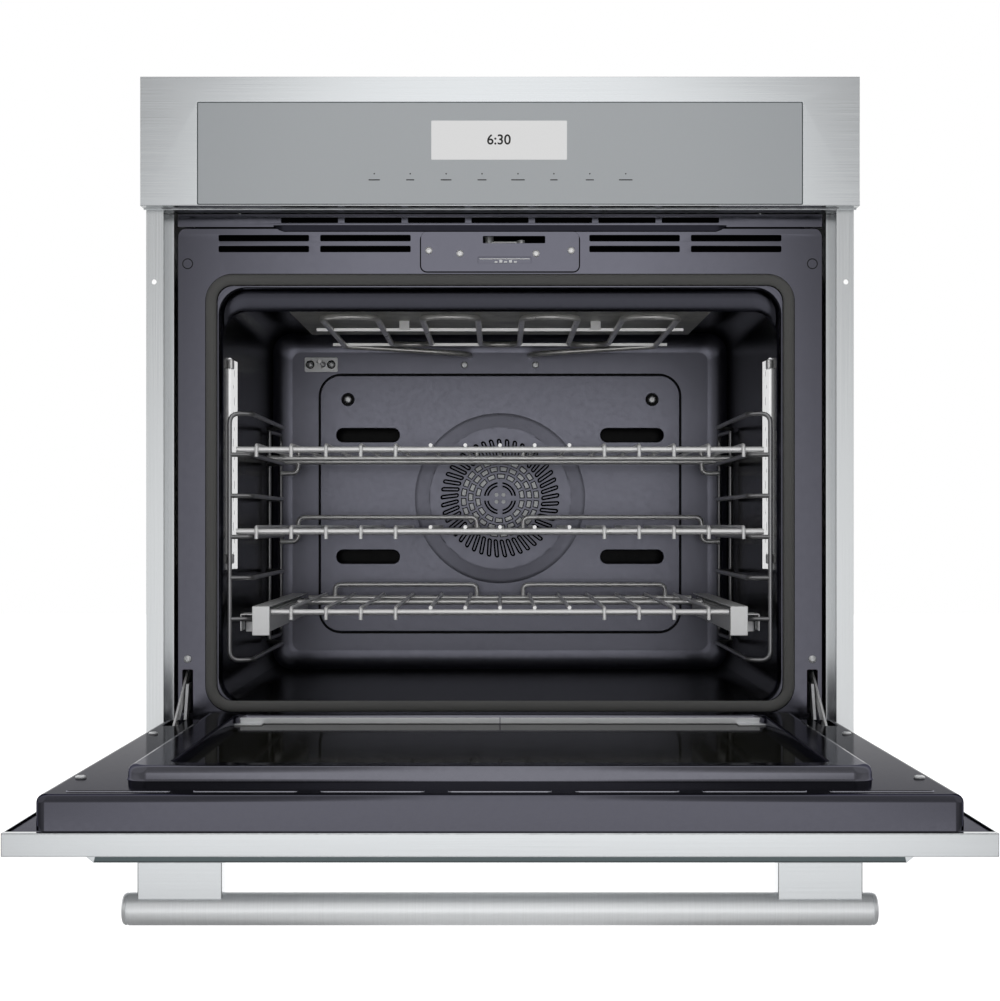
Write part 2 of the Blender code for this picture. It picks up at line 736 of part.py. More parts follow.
def door_block(name, half, u_range, h_range, finish=None, **rounding):
    """A box centred across the door."""
    low = (-half, HINGE_Y - u_range[1], HINGE_Z + h_range[0])
    high = (half, HINGE_Y - u_range[0], HINGE_Z + h_range[1])
    return block(name, low, high, finish, **rounding)


def door_side_block(name, side, near, far, u_range, h_range, finish=None):
    y_range = (HINGE_Y - u_range[1], HINGE_Y - u_range[0])
    z_range = (HINGE_Z + h_range[0], HINGE_Z + h_range[1])
    return side_block(name, side, near, far, y_range, z_range, finish)


def make_door_panel():
    pan = door_block("door_front_panel", WIDTH_HALF, (-1, DOOR_LENGTH), (PAN_LOW, -1), stainless())
    cut(pan, door_block("door_pan_inside", WIDTH_HALF - SHEET, (0.2, DOOR_LENGTH - SHEET),
                        (PAN_LOW + SHEET, 10)))
    cut(pan, door_block("door_pan_window", 250, (110, 440), (-40, 0)))
    for side in (-1, 1):
        cut(pan, door_side_block("pan_hinge_notch_" + side_name(side), side, HINGE_X - 8.5,
                                 HINGE_X + 8.5, (-5, 13), (PAN_LOW + SHEET, 0)))


def make_door_bezel():
    bezel = door_block("door_bezel", 321, (38, 539), (BEZEL_LOW, PAN_LOW - GAP), stainless())
    for side in (-1, 1):
        slope = door_side_block("bezel_slope_" + side_name(side), side, 318.3, 340, (0, 600),
                                (-45, -10))
        slope.rotation_euler = (0, -side * math.radians(38), 0)
        cut(bezel, slope)
    cut(bezel, door_block("bezel_window", 262, (100, 450), (-60, 0)))


def make_door_glasses():
    door_block("door_outer_glass", 285, (75, 470), (PAN_LOW + SHEET + GAP, -13.5), door_glass())
    door_block("door_middle_glass", 283, (68, 468), (10, 14), door_glass())
    door_block("door_inner_glass", 288, (60, 474), (26, 30), door_glass(), radius=20, along="Z")


def make_door_liner():
    liner = door_block("door_liner", LINER_HALF, (8, 559), (-0.6, LINER_TOP), enamel())
    add(liner, door_block("door_plug", PLUG_HALF, PLUG_U, (10, PLUG_TOP), radius=PLUG_RADIUS, along="Z"))
    cut(liner, door_block("liner_inside", LINER_HALF - SHEET, (8 + SHEET, 559 - SHEET),
                          (-20, LINER_TOP - SHEET)))
    cut(liner, door_block("plug_inside", PLUG_HALF - SHEET, (PLUG_U[0] + SHEET, PLUG_U[1] - SHEET),
                          (-10, PLUG_TOP - SHEET), radius=PLUG_RADIUS - SHEET, along="Z"))
    cut(liner, door_block("liner_window", WINDOW_HALF, WINDOW_U, (0, 60)))
    for index in range(-3, 4):
        x = 98 * index
        low = (x - 40, HINGE_Y - 542, HINGE_Z + 10)
        high = (x + 40, HINGE_Y - 534, HINGE_Z + 40)
        cut(liner, block(f"door_vent_{index + 3}", low, high))
    for side in (-1, 1):
        cut(liner, door_side_block("liner_hinge_slot_" + side_name(side), side, HINGE_X - 8,
                                   HINGE_X + 8, (-10, 75), (-20, 60)))


def make_handle():
    rod("handle_bar", (0, HINGE_Y - BAR_U, HINGE_Z + BAR_H), BAR_RADIUS, 2 * BAR_HALF, "X", stainless(),
        segments=28)
    for side in (-1, 1):
        name = "handle_post_" + side_name(side)
        post = door_side_block(name, side, POST_X - 32.8, POST_X + 32.8, (BAR_U - 9.5, BAR_U + 9.5),
                               (BAR_H + 5, BEZEL_LOW - GAP), stainless())
        cut(post, rod(name + "_saddle", (side * POST_X, HINGE_Y - BAR_U, HINGE_Z + BAR_H),
                      BAR_RADIUS + GAP, 90, "X", segments=28))


def make_hinge_channel(side):
    """The hinge's half in the door: a channel whose two ears carry the pin."""
    name = "hinge_channel_" + side_name(side)
    near = HINGE_X - 7
    far = HINGE_X + 7
    piece = door_side_block(name, side, near, far, (-6, 190), (-7, 20), galvanised())
    cut(piece, door_side_block(name + "_mouth", side, near + 1.5, far - 1.5, (-20, 188.5), (2, 40)))
    cut(piece, door_side_block(name + "_foot", side, near - 5, far + 5, (12, 300), (-20, -0.4)))
    cut(piece, door_side_block(name + "_eye", side, near + 1.5, far - 1.5, (-20, 14), (-20, 5)))
    add(piece, rod(name + "_pin", (side * HINGE_X, HINGE_Y, HINGE_Z), 3, 13, "X", segments=16))


def make_hinge_body(side):
    """The hinge's half in the chassis: a receiver box and the claw that holds the pin."""
    name = "hinge_body_" + side_name(side)
    box = side_block(name, side, 327, 345, (30, 185), (58, 142), galvanised())
    cut(box, side_block(name + "_space", side, 328.2, 343.8, (20, 183.8), (59.2, 140.8)))
    points = []
    for step in range(9):
        angle = math.radians(90 + 270 * step / 8)
        points.append((HINGE_Y + 8 * math.cos(angle), HINGE_Z + 8 * math.sin(angle)))
    points += [(13, 50), (25, 68), (184.5, 68), (184.5, 98), (24, 98), (13, 72), (5, 53)]
    claw = outline(name + "_claw", points, 3, (side * (HINGE_X - 1), 0, 0))
    add(box, claw)
    cut(box, rod(name + "_eye", (side * HINGE_X, HINGE_Y, HINGE_Z), 3.3, 30, "X", segments=16))


def make_hinge_link(side):
    """The bright arm from the door to the receiver, turning on a stud in the door's channel."""
    name = "hinge_link_" + side_name(side)
    pivot = (side * (HINGE_X + 3.2), HINGE_Y - LINK_U, HINGE_Z + LINK_H)
    link = side_block(name, side, -1.1, 1.1, (0, LINK_LENGTH), (-7, 7), chrome(), radius=6.9, along="X")
    link.data.transform(Matrix.Translation((0, (LINK_LENGTH / 2 - 6) * MM, 0)))
    link.location = Vector(pivot) * MM
    link.rotation_euler = (math.radians(LINK_TILT), 0, 0)


# ---------------------------------------------------------------- the whole oven

def make_casing():
    make_base_pan()
    make_top_cover()
    make_rear_cover()
    make_cable_gland()
    make_bottom_trim()
    for side in (-1, 1):
        make_side_panel(side)
        make_mounting_flange(side)
        make_hinge_body(side)


def make_front():
    make_control_panel()
    make_control_glass()
    make_control_housing()
    make_control_board()
    make_vent_grille()
    make_vent_lip()
    make_front_frame()
    make_latch_plate()
    make_latch_hook()
    make_latch_motor()


def make_cavity():
    make_cavity_liner()
    make_gasket()
    make_insulation()
    make_fan_baffle()
    make_fan()
    make_fan_motor()
    make_convection_element()
    make_broil_element()
    make_bake_element()
    make_probe()
    for side in (-1, 1):
        make_lamp(side)
        make_side_rack(side)


def make_racks():
    for name, level in RACK_LEVELS.items():
        make_rack(name, level, 287, WIRE_STEPS, 3, 263, True)
    make_rack("rack_lower", LOWER_RACK_Z, 249.2, 6, 3, 215, False)
    for side in (-1, 1):
        make_rack_slide(side)


def make_door():
    make_door_panel()
    make_door_bezel()
    make_door_glasses()
    make_door_liner()
    make_handle()
    for side in (-1, 1):
        make_hinge_channel(side)
        make_hinge_link(side)


make_casing()
make_front()
make_cavity()
make_racks()
make_blower_housing()
make_blower_wheel()
make_blower_motor()
make_door()
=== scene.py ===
"""The looks of the built-in wall oven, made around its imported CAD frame.

Sizes are in millimetres, in the frame of the CAD: X to the right seen from the front, Y into the
oven, Z up. A Piece gathers a mesh in millimetres and turns it into metres when it is done.
"""
import math

import bmesh
import bpy
from mathutils import Matrix, Vector


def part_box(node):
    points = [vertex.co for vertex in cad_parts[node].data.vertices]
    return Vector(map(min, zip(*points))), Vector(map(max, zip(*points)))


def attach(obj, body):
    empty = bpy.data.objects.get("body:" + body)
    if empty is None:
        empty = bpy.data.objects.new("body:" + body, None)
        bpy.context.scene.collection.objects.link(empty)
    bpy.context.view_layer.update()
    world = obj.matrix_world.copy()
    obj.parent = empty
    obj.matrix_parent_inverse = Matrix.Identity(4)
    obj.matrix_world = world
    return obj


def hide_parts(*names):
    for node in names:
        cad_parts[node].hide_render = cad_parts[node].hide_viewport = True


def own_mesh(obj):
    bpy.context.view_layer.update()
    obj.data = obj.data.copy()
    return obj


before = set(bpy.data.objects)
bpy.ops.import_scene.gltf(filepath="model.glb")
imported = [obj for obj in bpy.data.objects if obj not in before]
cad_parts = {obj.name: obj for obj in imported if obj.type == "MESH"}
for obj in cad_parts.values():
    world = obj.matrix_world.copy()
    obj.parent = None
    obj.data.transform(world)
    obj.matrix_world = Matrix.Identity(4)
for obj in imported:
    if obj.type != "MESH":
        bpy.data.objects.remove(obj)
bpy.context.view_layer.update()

MM = 0.001
SIDES = (-1, 1)
TAGGED_SIDES = ((-1, "left"), (1, "right"))
WHITE = (1.0, 1.0, 1.0, 1.0)


def node_box(node):
    """Lowest and highest corner of a CAD node, in millimetres."""
    low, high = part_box(node)
    return low / MM, high / MM


# ---- driving sizes, from the frame

PANEL_LOW, PANEL_HIGH = node_box("control_panel_frame")
GLASS_LOW, GLASS_HIGH = node_box("control_glass")
FRAME_LOW, FRAME_HIGH = node_box("front_frame")
LINER_LOW, LINER_HIGH = node_box("cavity_liner")
BAFFLE_LOW, BAFFLE_HIGH = node_box("fan_baffle")
DOOR_LOW, DOOR_HIGH = node_box("door_front_panel")
DOOR_LINER_LOW, DOOR_LINER_HIGH = node_box("door_liner")
GLASS_TOP = node_box("door_inner_glass")[1].z

FRONT_Y = FRAME_LOW.y              # face of the front frame
CAVITY_HALF = LINER_HIGH.x - 1.5
CAVITY_FLOOR = LINER_LOW.z + 1.5
CAVITY_CEILING = LINER_HIGH.z - 1.5
CAVITY_REAR = 498.0
CAVITY_RADIUS = 26.0
FAN_Z = 304.2
PLUG = ((-301.5, -484), (301.5, -49))
PLUG_CORNER = 18.0
WINDOW = ((-270, -462), (270, -82))
ROUNDED_EDGE = ((0, 6), (0.45, 3.7), (1.8, 1.75), (3.7, 0.45), (6.0, 0))    # (inset, drop) pairs
FASTENER_X = 336.5                 # screws, plugs and hinge slots of the front frame
LATCH_SLOT = (15.1, 576.2, 33.4, 3.8)
SHARP_ANGLE = 38                   # degrees between faces that meet in a sharp edge


# ---- shader nodes

def shader_of(material):
    return material.node_tree.nodes["Principled BSDF"]


def new_material(name, color, roughness, metallic, **sockets):
    """A Principled material; extra sockets are given with underscores for spaces."""
    material = bpy.data.materials.new(name)
    material.use_nodes = True
    shader = shader_of(material)
    shader.inputs["Base Color"].default_value = (*color, 1.0)
    shader.inputs["Roughness"].default_value = roughness
    shader.inputs["Metallic"].default_value = metallic
    for socket, value in sockets.items():
        shader.inputs[socket.replace("_", " ")].default_value = value
    return material


def add_node(owner, kind, inputs=None, **settings):
    """A node in the tree of a material or of the world."""
    node = owner.node_tree.nodes.new(kind)
    for key, value in settings.items():
        setattr(node, key, value)
    for key, value in (inputs or {}).items():
        if isinstance(value, bpy.types.NodeSocket):
            owner.node_tree.links.new(value, node.inputs[key])
        else:
            node.inputs[key].default_value = value
    return node


def math_node(owner, operation, *values):
    return add_node(owner, "ShaderNodeMath", dict(enumerate(values)), operation=operation).outputs["Value"]


def fade(owner, value, start, end, low=0.0, high=1.0):
    """Low up to start, high from end on, and a soft step between them."""
    return ranged(owner, value, low, high, (start, end), "SMOOTHSTEP")


def axes_of(owner, kind="Object"):
    """X, Y and Z of a texture coordinate."""
    where = add_node(owner, "ShaderNodeTexCoord")
    return add_node(owner, "ShaderNodeSeparateXYZ", {"Vector": where.outputs[kind]}).outputs


def link(material, output, socket):
    material.node_tree.links.new(output, shader_of(material).inputs[socket])


def place_vector(material, scale):
    """Object coordinates, in metres, stretched by scale: one number, or one for each axis."""
    scale = scale if isinstance(scale, tuple) else (scale,) * 3
    where = add_node(material, "ShaderNodeTexCoord")
    mapping = add_node(material, "ShaderNodeMapping",
                       {"Vector": where.outputs["Object"], "Scale": scale})
    return mapping.outputs["Vector"]


def noise(material, scale, detail=3.0, rough=0.55):
    return add_node(material, "ShaderNodeTexNoise",
                    {"Vector": place_vector(material, scale), "Scale": 1.0, "Detail": detail,
                     "Roughness": rough}).outputs["Fac"]


def ranged(owner, value, low, high, source=(0.3, 0.7), step="LINEAR"):
    """The value's source range brought to the range from low to high."""
    limits = {"From Min": source[0], "From Max": source[1], "To Min": low, "To Max": high}
    return add_node(owner, "ShaderNodeMapRange", {"Value": value, **limits},
                    interpolation_type=step).outputs["Result"]


def vary_roughness(material, value, low, high):
    link(material, ranged(material, value, low, high), "Roughness")


def vary_color(material, value, dark, light, source=(0.3, 0.7)):
    mix = add_node(material, "ShaderNodeMix", data_type="RGBA")
    mix.inputs["A"].default_value = (*dark, 1.0)
    mix.inputs["B"].default_value = (*light, 1.0)
    material.node_tree.links.new(ranged(material, value, 0.0, 1.0, source), mix.inputs["Factor"])
    output = [o for o in mix.outputs if o.type == "RGBA"][0]
    link(material, output, "Base Color")


def shade(material, value, color, dark, light, source=(0.3, 0.7)):
    """Varies the colour between a darker and a lighter share of it."""
    shares = [tuple(min(1.0, c * share) for c in color) for share in (dark, light)]
    vary_color(material, value, *shares, source)


def add_bump(material, height, strength, distance=0.0002):
    bump = add_node(material, "ShaderNodeBump",
                    {"Height": height, "Strength": strength, "Distance": distance})
    link(material, bump.outputs["Normal"], "Normal")


# ---- materials

GRAIN = {"X": (6.0, 1500.0, 1500.0), "Z": (1500.0, 1500.0, 6.0), "ROUND": (900.0, 9.0, 9.0)}


def grained(name, color, rough, metallic, grain, below, above, dark, light, bump=0.0, **sockets):
    """Roughness and tone follow one noise; grain is its scale, its detail and its own roughness."""
    material = new_material(name, color, rough, metallic, **sockets)
    value = noise(material, *grain)
    vary_roughness(material, value, rough - below, rough + above)
    shade(material, value, color, dark, light)
    if bump:
        add_bump(material, value, bump)
    return material


def two_tone(name, color, rough, grain, dark, light, bump=(), **sockets):
    """One noise mixes two colours; bump is its strength and its distance."""
    material = new_material(name, color, rough, 0.0, **sockets)
    value = noise(material, *grain)
    vary_color(material, value, dark, light)
    if bump:
        add_bump(material, value, *bump)
    return material


def brushed_steel(name, grain, color=(0.61, 0.63, 0.645), rough=0.17, metallic=1.0, depth=1.0):
    """Steel with fine brushed lines; depth is how strongly they show."""
    return grained(name, color, rough, metallic, (GRAIN[grain], 4.0, 0.7), 0.04 * depth, 0.05 * depth,
                   1 - 0.1 * depth, 1 + 0.06 * depth, 0.05 * depth)


def enamel(name, color, rough, tint=0.3, peel_bump=0.02, edge=1.0):
    """Fired enamel: a nearly even sheen with a faint orange peel.

    It has fine pale specks, or instead a painted shade: its tone falls to the share called edge on the left
    and right.
    """
    material = new_material(name, color, rough, 1.0, Specular_Tint=(tint, tint, tint * 1.1, 1.0))
    # Painted shade: the tone darkens with |X| towards the left and right ends.
    if edge < 1.0:
        outward = math_node(material, "ABSOLUTE", axes_of(material)["X"])
        shade(material, ranged(material, outward, 1.0, 0.0, (0.14, 0.34)), color, edge, 1.0, (0.0, 1.0))
    else:
        shade(material, noise(material, 1100.0, 2.0, 0.6), color, 0.97, 1.05, (0.45, 0.8))
    peel = noise(material, 160.0, 2.0)
    vary_roughness(material, peel, rough - 0.02, rough + 0.03)
    if peel_bump:
        add_bump(material, peel, peel_bump, 0.0004)
    return material


def gloss_enamel(name, color, rough, ior):
    """Enamel seen at a slant, on the walls and the floor of the cavity, where its near black colour is
    painted shade.
    """
    material = new_material(name, color, rough, 0.0, IOR=ior)
    specks = noise(material, 1100.0, 2.0, 0.6)
    shade(material, specks, color, 1.0, 1.5, (0.5, 0.8))
    peel = noise(material, 140.0, 2.0)
    vary_roughness(material, peel, rough - 0.02, rough + 0.03)
    return material


def chrome(name, color, rough, metallic):
    return grained(name, color, rough, metallic, (60.0, 2.0), 0.02, 0.03, 0.97, 1.03)


def galvanised(name, color=(0.5, 0.51, 0.52), rough=0.42):
    """Zinc coated sheet with its spangle."""
    material = new_material(name, color, rough, 1.0)
    cells = add_node(material, "ShaderNodeTexVoronoi",
                     {"Vector": place_vector(material, 190.0), "Scale": 1.0})
    tone = add_node(material, "ShaderNodeSeparateColor", {"Color": cells.outputs["Color"]})
    shade(material, tone.outputs["Red"], color, 0.93, 1.05, (0.0, 1.0))
    add_bump(material, noise(material, 900.0), 0.05)
    link(material, ranged(material, tone.outputs["Green"], rough - 0.06, rough + 0.06, (0.0, 1.0)),
         "Roughness")
    return material


def painted(name, color, rough=0.45):
    return grained(name, color, rough, 0.0, (1300.0, 2.0), 0.06, 0.1, 0.85, 1.2, 0.12)


def oxidised(name, color, rough, metallic):
    """A heating rod's sheath, or its reflector, with a faint bloom."""
    return grained(name, color, rough, metallic, (40.0, 3.0), 0.03, 0.06, 0.85, 1.15)


def dark_glass(name, color, rough, ior):
    return grained(name, color, rough, 0.0, (35.0, 3.0), 0.0, 0.02, 0.9, 1.1, IOR=ior)


def woven_rope(name):
    """Braided glass fibre sleeve."""
    material = new_material(name, (0.1, 0.1, 0.096), 0.75, 0.0)
    wave = add_node(material, "ShaderNodeTexWave",
                    {"Vector": place_vector(material, 520.0), "Scale": 1.0,
                     "Distortion": 1.2, "Detail": 2.0},
                    bands_direction="DIAGONAL")
    strands = wave.outputs["Fac"]
    vary_color(material, strands, (0.085, 0.085, 0.083), (0.17, 0.17, 0.165), (0.0, 1.0))
    add_bump(material, strands, 0.5, 0.0004)
    return material


STEEL_X = brushed_steel("steel_brushed_across", "X")
STEEL_Z = brushed_steel("steel_brushed_upright", "Z", (0.56, 0.575, 0.585))
STEEL_ROUND = brushed_steel("steel_turned", "ROUND", (0.92, 0.94, 0.955), 0.34, 0.7, 0.45)
STEEL_SOFT = chrome("steel_pressed", (0.8, 0.81, 0.82), 0.38, 0.6)
# Front enamel with painted shade, darker towards the left and right ends.
ENAMEL_SIDE_SHADED = enamel("enamel_grey_side_shaded", (0.123, 0.123, 0.15), 0.13, edge=0.64)
ENAMEL_TRAY = enamel("enamel_door", (0.085, 0.085, 0.104), 0.1, 0.18)
ENAMEL_PLUG = enamel("enamel_door_plug", (0.132, 0.132, 0.155), 0.12)
# One cavity enamel in lit and shaded copies: the rear wall and the mouth's lip lighter as painted light,
# the walls and the floor near black as painted shade.
ENAMEL_BACK_LIT = enamel("enamel_rear_wall_lit", (0.18, 0.182, 0.22), 0.34, peel_bump=0.0)
# Pale enamel for painted highlights along the door's vent slots.
ENAMEL_HIGHLIGHT = enamel("enamel_painted_highlight", (0.3, 0.3, 0.34), 0.2, 0.5)
ENAMEL_LIP_LIT = enamel("enamel_mouth_lit", (0.07, 0.071, 0.088), 0.22, 0.4, 0.0)
# Near black enamel of the cavity walls, painted shade; the baffle's seam and screw holes take it as painted
# shade too.
ENAMEL_DARK = gloss_enamel("enamel_walls", (0.004, 0.004, 0.005), 0.24, 1.15)
ENAMEL_FLOOR_SHADED = gloss_enamel("enamel_floor_shaded", (0.006, 0.006, 0.007), 0.2, 1.07)
GUARD_STEEL = chrome("guard_steel", (0.5, 0.51, 0.52), 0.36, 0.6)
CHROME = chrome("chrome_wire", (1.0, 1.0, 1.0), 0.33, 0.48)
CHROME_SATIN = chrome("chrome_satin", (0.74, 0.75, 0.76), 0.34, 0.5)
SLIDE_STEEL = chrome("slide_steel", (0.92, 0.925, 0.93), 0.4, 0.45)
STRIP = chrome("strip_bright", (1.0, 1.0, 1.0), 0.34, 0.45)
# Chrome of the ladders, darkened as painted shade along the cavity walls.
SHADED_WIRE = chrome("dark_wire", (0.36, 0.36, 0.37), 0.3, 0.8)
ELEMENT = oxidised("element_sheath", (0.84, 0.83, 0.81), 0.3, 0.6)
REFLECTOR = oxidised("reflector", (0.62, 0.62, 0.58), 0.5, 0.6)
# Dark steel as painted shade: under the panel frame, round the control glass and on the bezel's edges.
STEEL_SHADED = brushed_steel("steel_painted_shade", "X", (0.09, 0.11, 0.115))
ROPE = woven_rope("woven_rope")
WOOL = two_tone("fibre_wool", (0.7, 0.66, 0.5), 0.95, ((90.0, 90.0, 300.0), 6.0, 0.7),
                (0.55, 0.5, 0.36), (0.8, 0.77, 0.62), (0.8, 0.004))
BLACK_GLASS = dark_glass("black_glass", (0.006, 0.006, 0.0065), 0.015, 1.5)
WINDOW_GLASS = dark_glass("window_glass", (0.009, 0.009, 0.007), 0.05, 1.05)
# Fan steel darkened as painted shade behind the baffle.
FAN_SHADED = galvanised("fan_steel_shaded", (0.09, 0.09, 0.095), 0.5)
# Unlit black for painted shade: in slots, gaps and seams, and behind grilles.
SHADE_BLACK = painted("unlit_black", (0.0015, 0.0015, 0.0016), 0.8)
shader_of(SHADE_BLACK).inputs["Specular IOR Level"].default_value = 0.05
GREY_GLASS = two_tone("grey_glass", (0.55, 0.585, 0.61), 0.16, (900.0, 2.0), (0.55, 0.582, 0.607),
                      (0.56, 0.592, 0.617), IOR=1.5, Coat_Weight=0.5, Coat_Roughness=0.06)
SCREEN = two_tone("lit_screen", (0.3, 0.3, 0.3), 0.15, (2500.0, 1.0), (0.28, 0.28, 0.28),
                  (0.32, 0.32, 0.32), Emission_Color=WHITE, Emission_Strength=0.48, Coat_Weight=0.3)
GLOW = two_tone("lamp_glow", (0.7, 0.72, 0.74), 0.4, (420.0, 3.0), (0.55, 0.56, 0.58),
                (0.85, 0.86, 0.88), (0.3, 0.0005), Emission_Color=WHITE, Emission_Strength=0.62)
ZINC = galvanised("zinc_sheet")
# Darkened zinc under the control panel: painted shade.
ZINC_SHADED = galvanised("zinc_shelf_shaded", (0.22, 0.23, 0.24), 0.4)
BLACK_PAINT = painted("black_paint", (0.012, 0.012, 0.013))
BLACK_LIP = enamel("black_lip", (0.022, 0.022, 0.03), 0.3, 0.2)
PLASTIC = painted("moulded_plastic", (0.03, 0.03, 0.032), 0.5)
INK = painted("printed_ink", (0.004, 0.004, 0.004), 0.6)


# ---- outlines and paths

def rectangle(x_low, x_high, z_low, z_high, radius=0.0, steps=6):
    """Points round a rectangle, anticlockwise, with an arc at each corner."""
    if radius <= 0:
        return [(x_low, z_low), (x_high, z_low), (x_high, z_high), (x_low, z_high)]
    radius = min(radius, (x_high - x_low) / 2 - 0.01, (z_high - z_low) / 2 - 0.01)
    corners = ((x_high, z_low, -90), (x_high, z_high, 0), (x_low, z_high, 90), (x_low, z_low, 180))
    points = []
    for x, z, start in corners:
        centre_x = x - math.copysign(radius, x - (x_low + x_high) / 2)
        centre_z = z - math.copysign(radius, z - (z_low + z_high) / 2)
        for step in range(steps + 1):
            angle = math.radians(start + 90 * step / steps)
            points.append((centre_x + radius * math.cos(angle), centre_z + radius * math.sin(angle)))
    return points


def shrunk(low, high, inset, radius, steps):
    """The rectangle between two corners, drawn in by inset on every side."""
    return rectangle(low[0] + inset, high[0] - inset, low[1] + inset, high[1] - inset, radius, steps)


def slot(x, z, half_x, half_z, radius=None, steps=4):
    return rectangle(x - half_x, x + half_x, z - half_z, z + half_z,
                     min(half_x, half_z) if radius is None else radius, steps)


def circle(x, z, radius, count=24):
    return [(x + radius * math.cos(2 * math.pi * i / count),
             z + radius * math.sin(2 * math.pi * i / count)) for i in range(count)]


def standing(outline, y):
    """An outline of (x, z) pairs as points in the plane at y."""
    return [(x, y, z) for x, z in outline]


def lying(outline, z):
    """An outline of (x, y) pairs as points in the plane at z."""
    return [(x, y, z) for x, y in outline]


def arc_slot(x, z, radius, width, start, sweep, steps=6):
    """A slot bent on an arc about (x, z). Angles are in degrees."""
    angles = [math.radians(start + sweep * step / steps) for step in range(steps + 1)]
    outer, inner = ([(x + r * math.cos(angle), z + r * math.sin(angle)) for angle in angles]
                    for r in (radius + width / 2, radius - width / 2))
    return outer + inner[::-1]


def bent(points, radius, steps=6):
    """The path through points with each inner corner turned on a curve."""
    path = [Vector(points[0])]
    for before, corner, after in zip(points, points[1:], points[2:]):
        corner = Vector(corner)
        to_before = Vector(before) - corner
        to_after = Vector(after) - corner
        reach = min(radius, 0.48 * to_before.length, 0.48 * to_after.length)
        start = corner + to_before.normalized() * reach
        end = corner + to_after.normalized() * reach
        for step in range(steps + 1):
            t = step / steps
            path.append(start * (1 - t) ** 2 + corner * 2 * t * (1 - t) + end * t ** 2)
    path.append(Vector(points[-1]))
    return path


PLANES = {
    "XZ": Matrix(((1, 0, 0, 0), (0, 0, -1, 0), (0, 1, 0, 0), (0, 0, 0, 1))),
    "XY": Matrix.Identity(4),
    "YZ": Matrix(((0, 0, 1, 0), (1, 0, 0, 0), (0, 1, 0, 0), (0, 0, 0, 1))),
}
AXES = {"X": (1, 2, 0), "Y": (0, 2, 1), "Z": (0, 1, 2)}      # the two across, then the one along


def add_object(name, data):
    made = bpy.data.objects.new(name, data)
    bpy.context.scene.collection.objects.link(made)
    return made


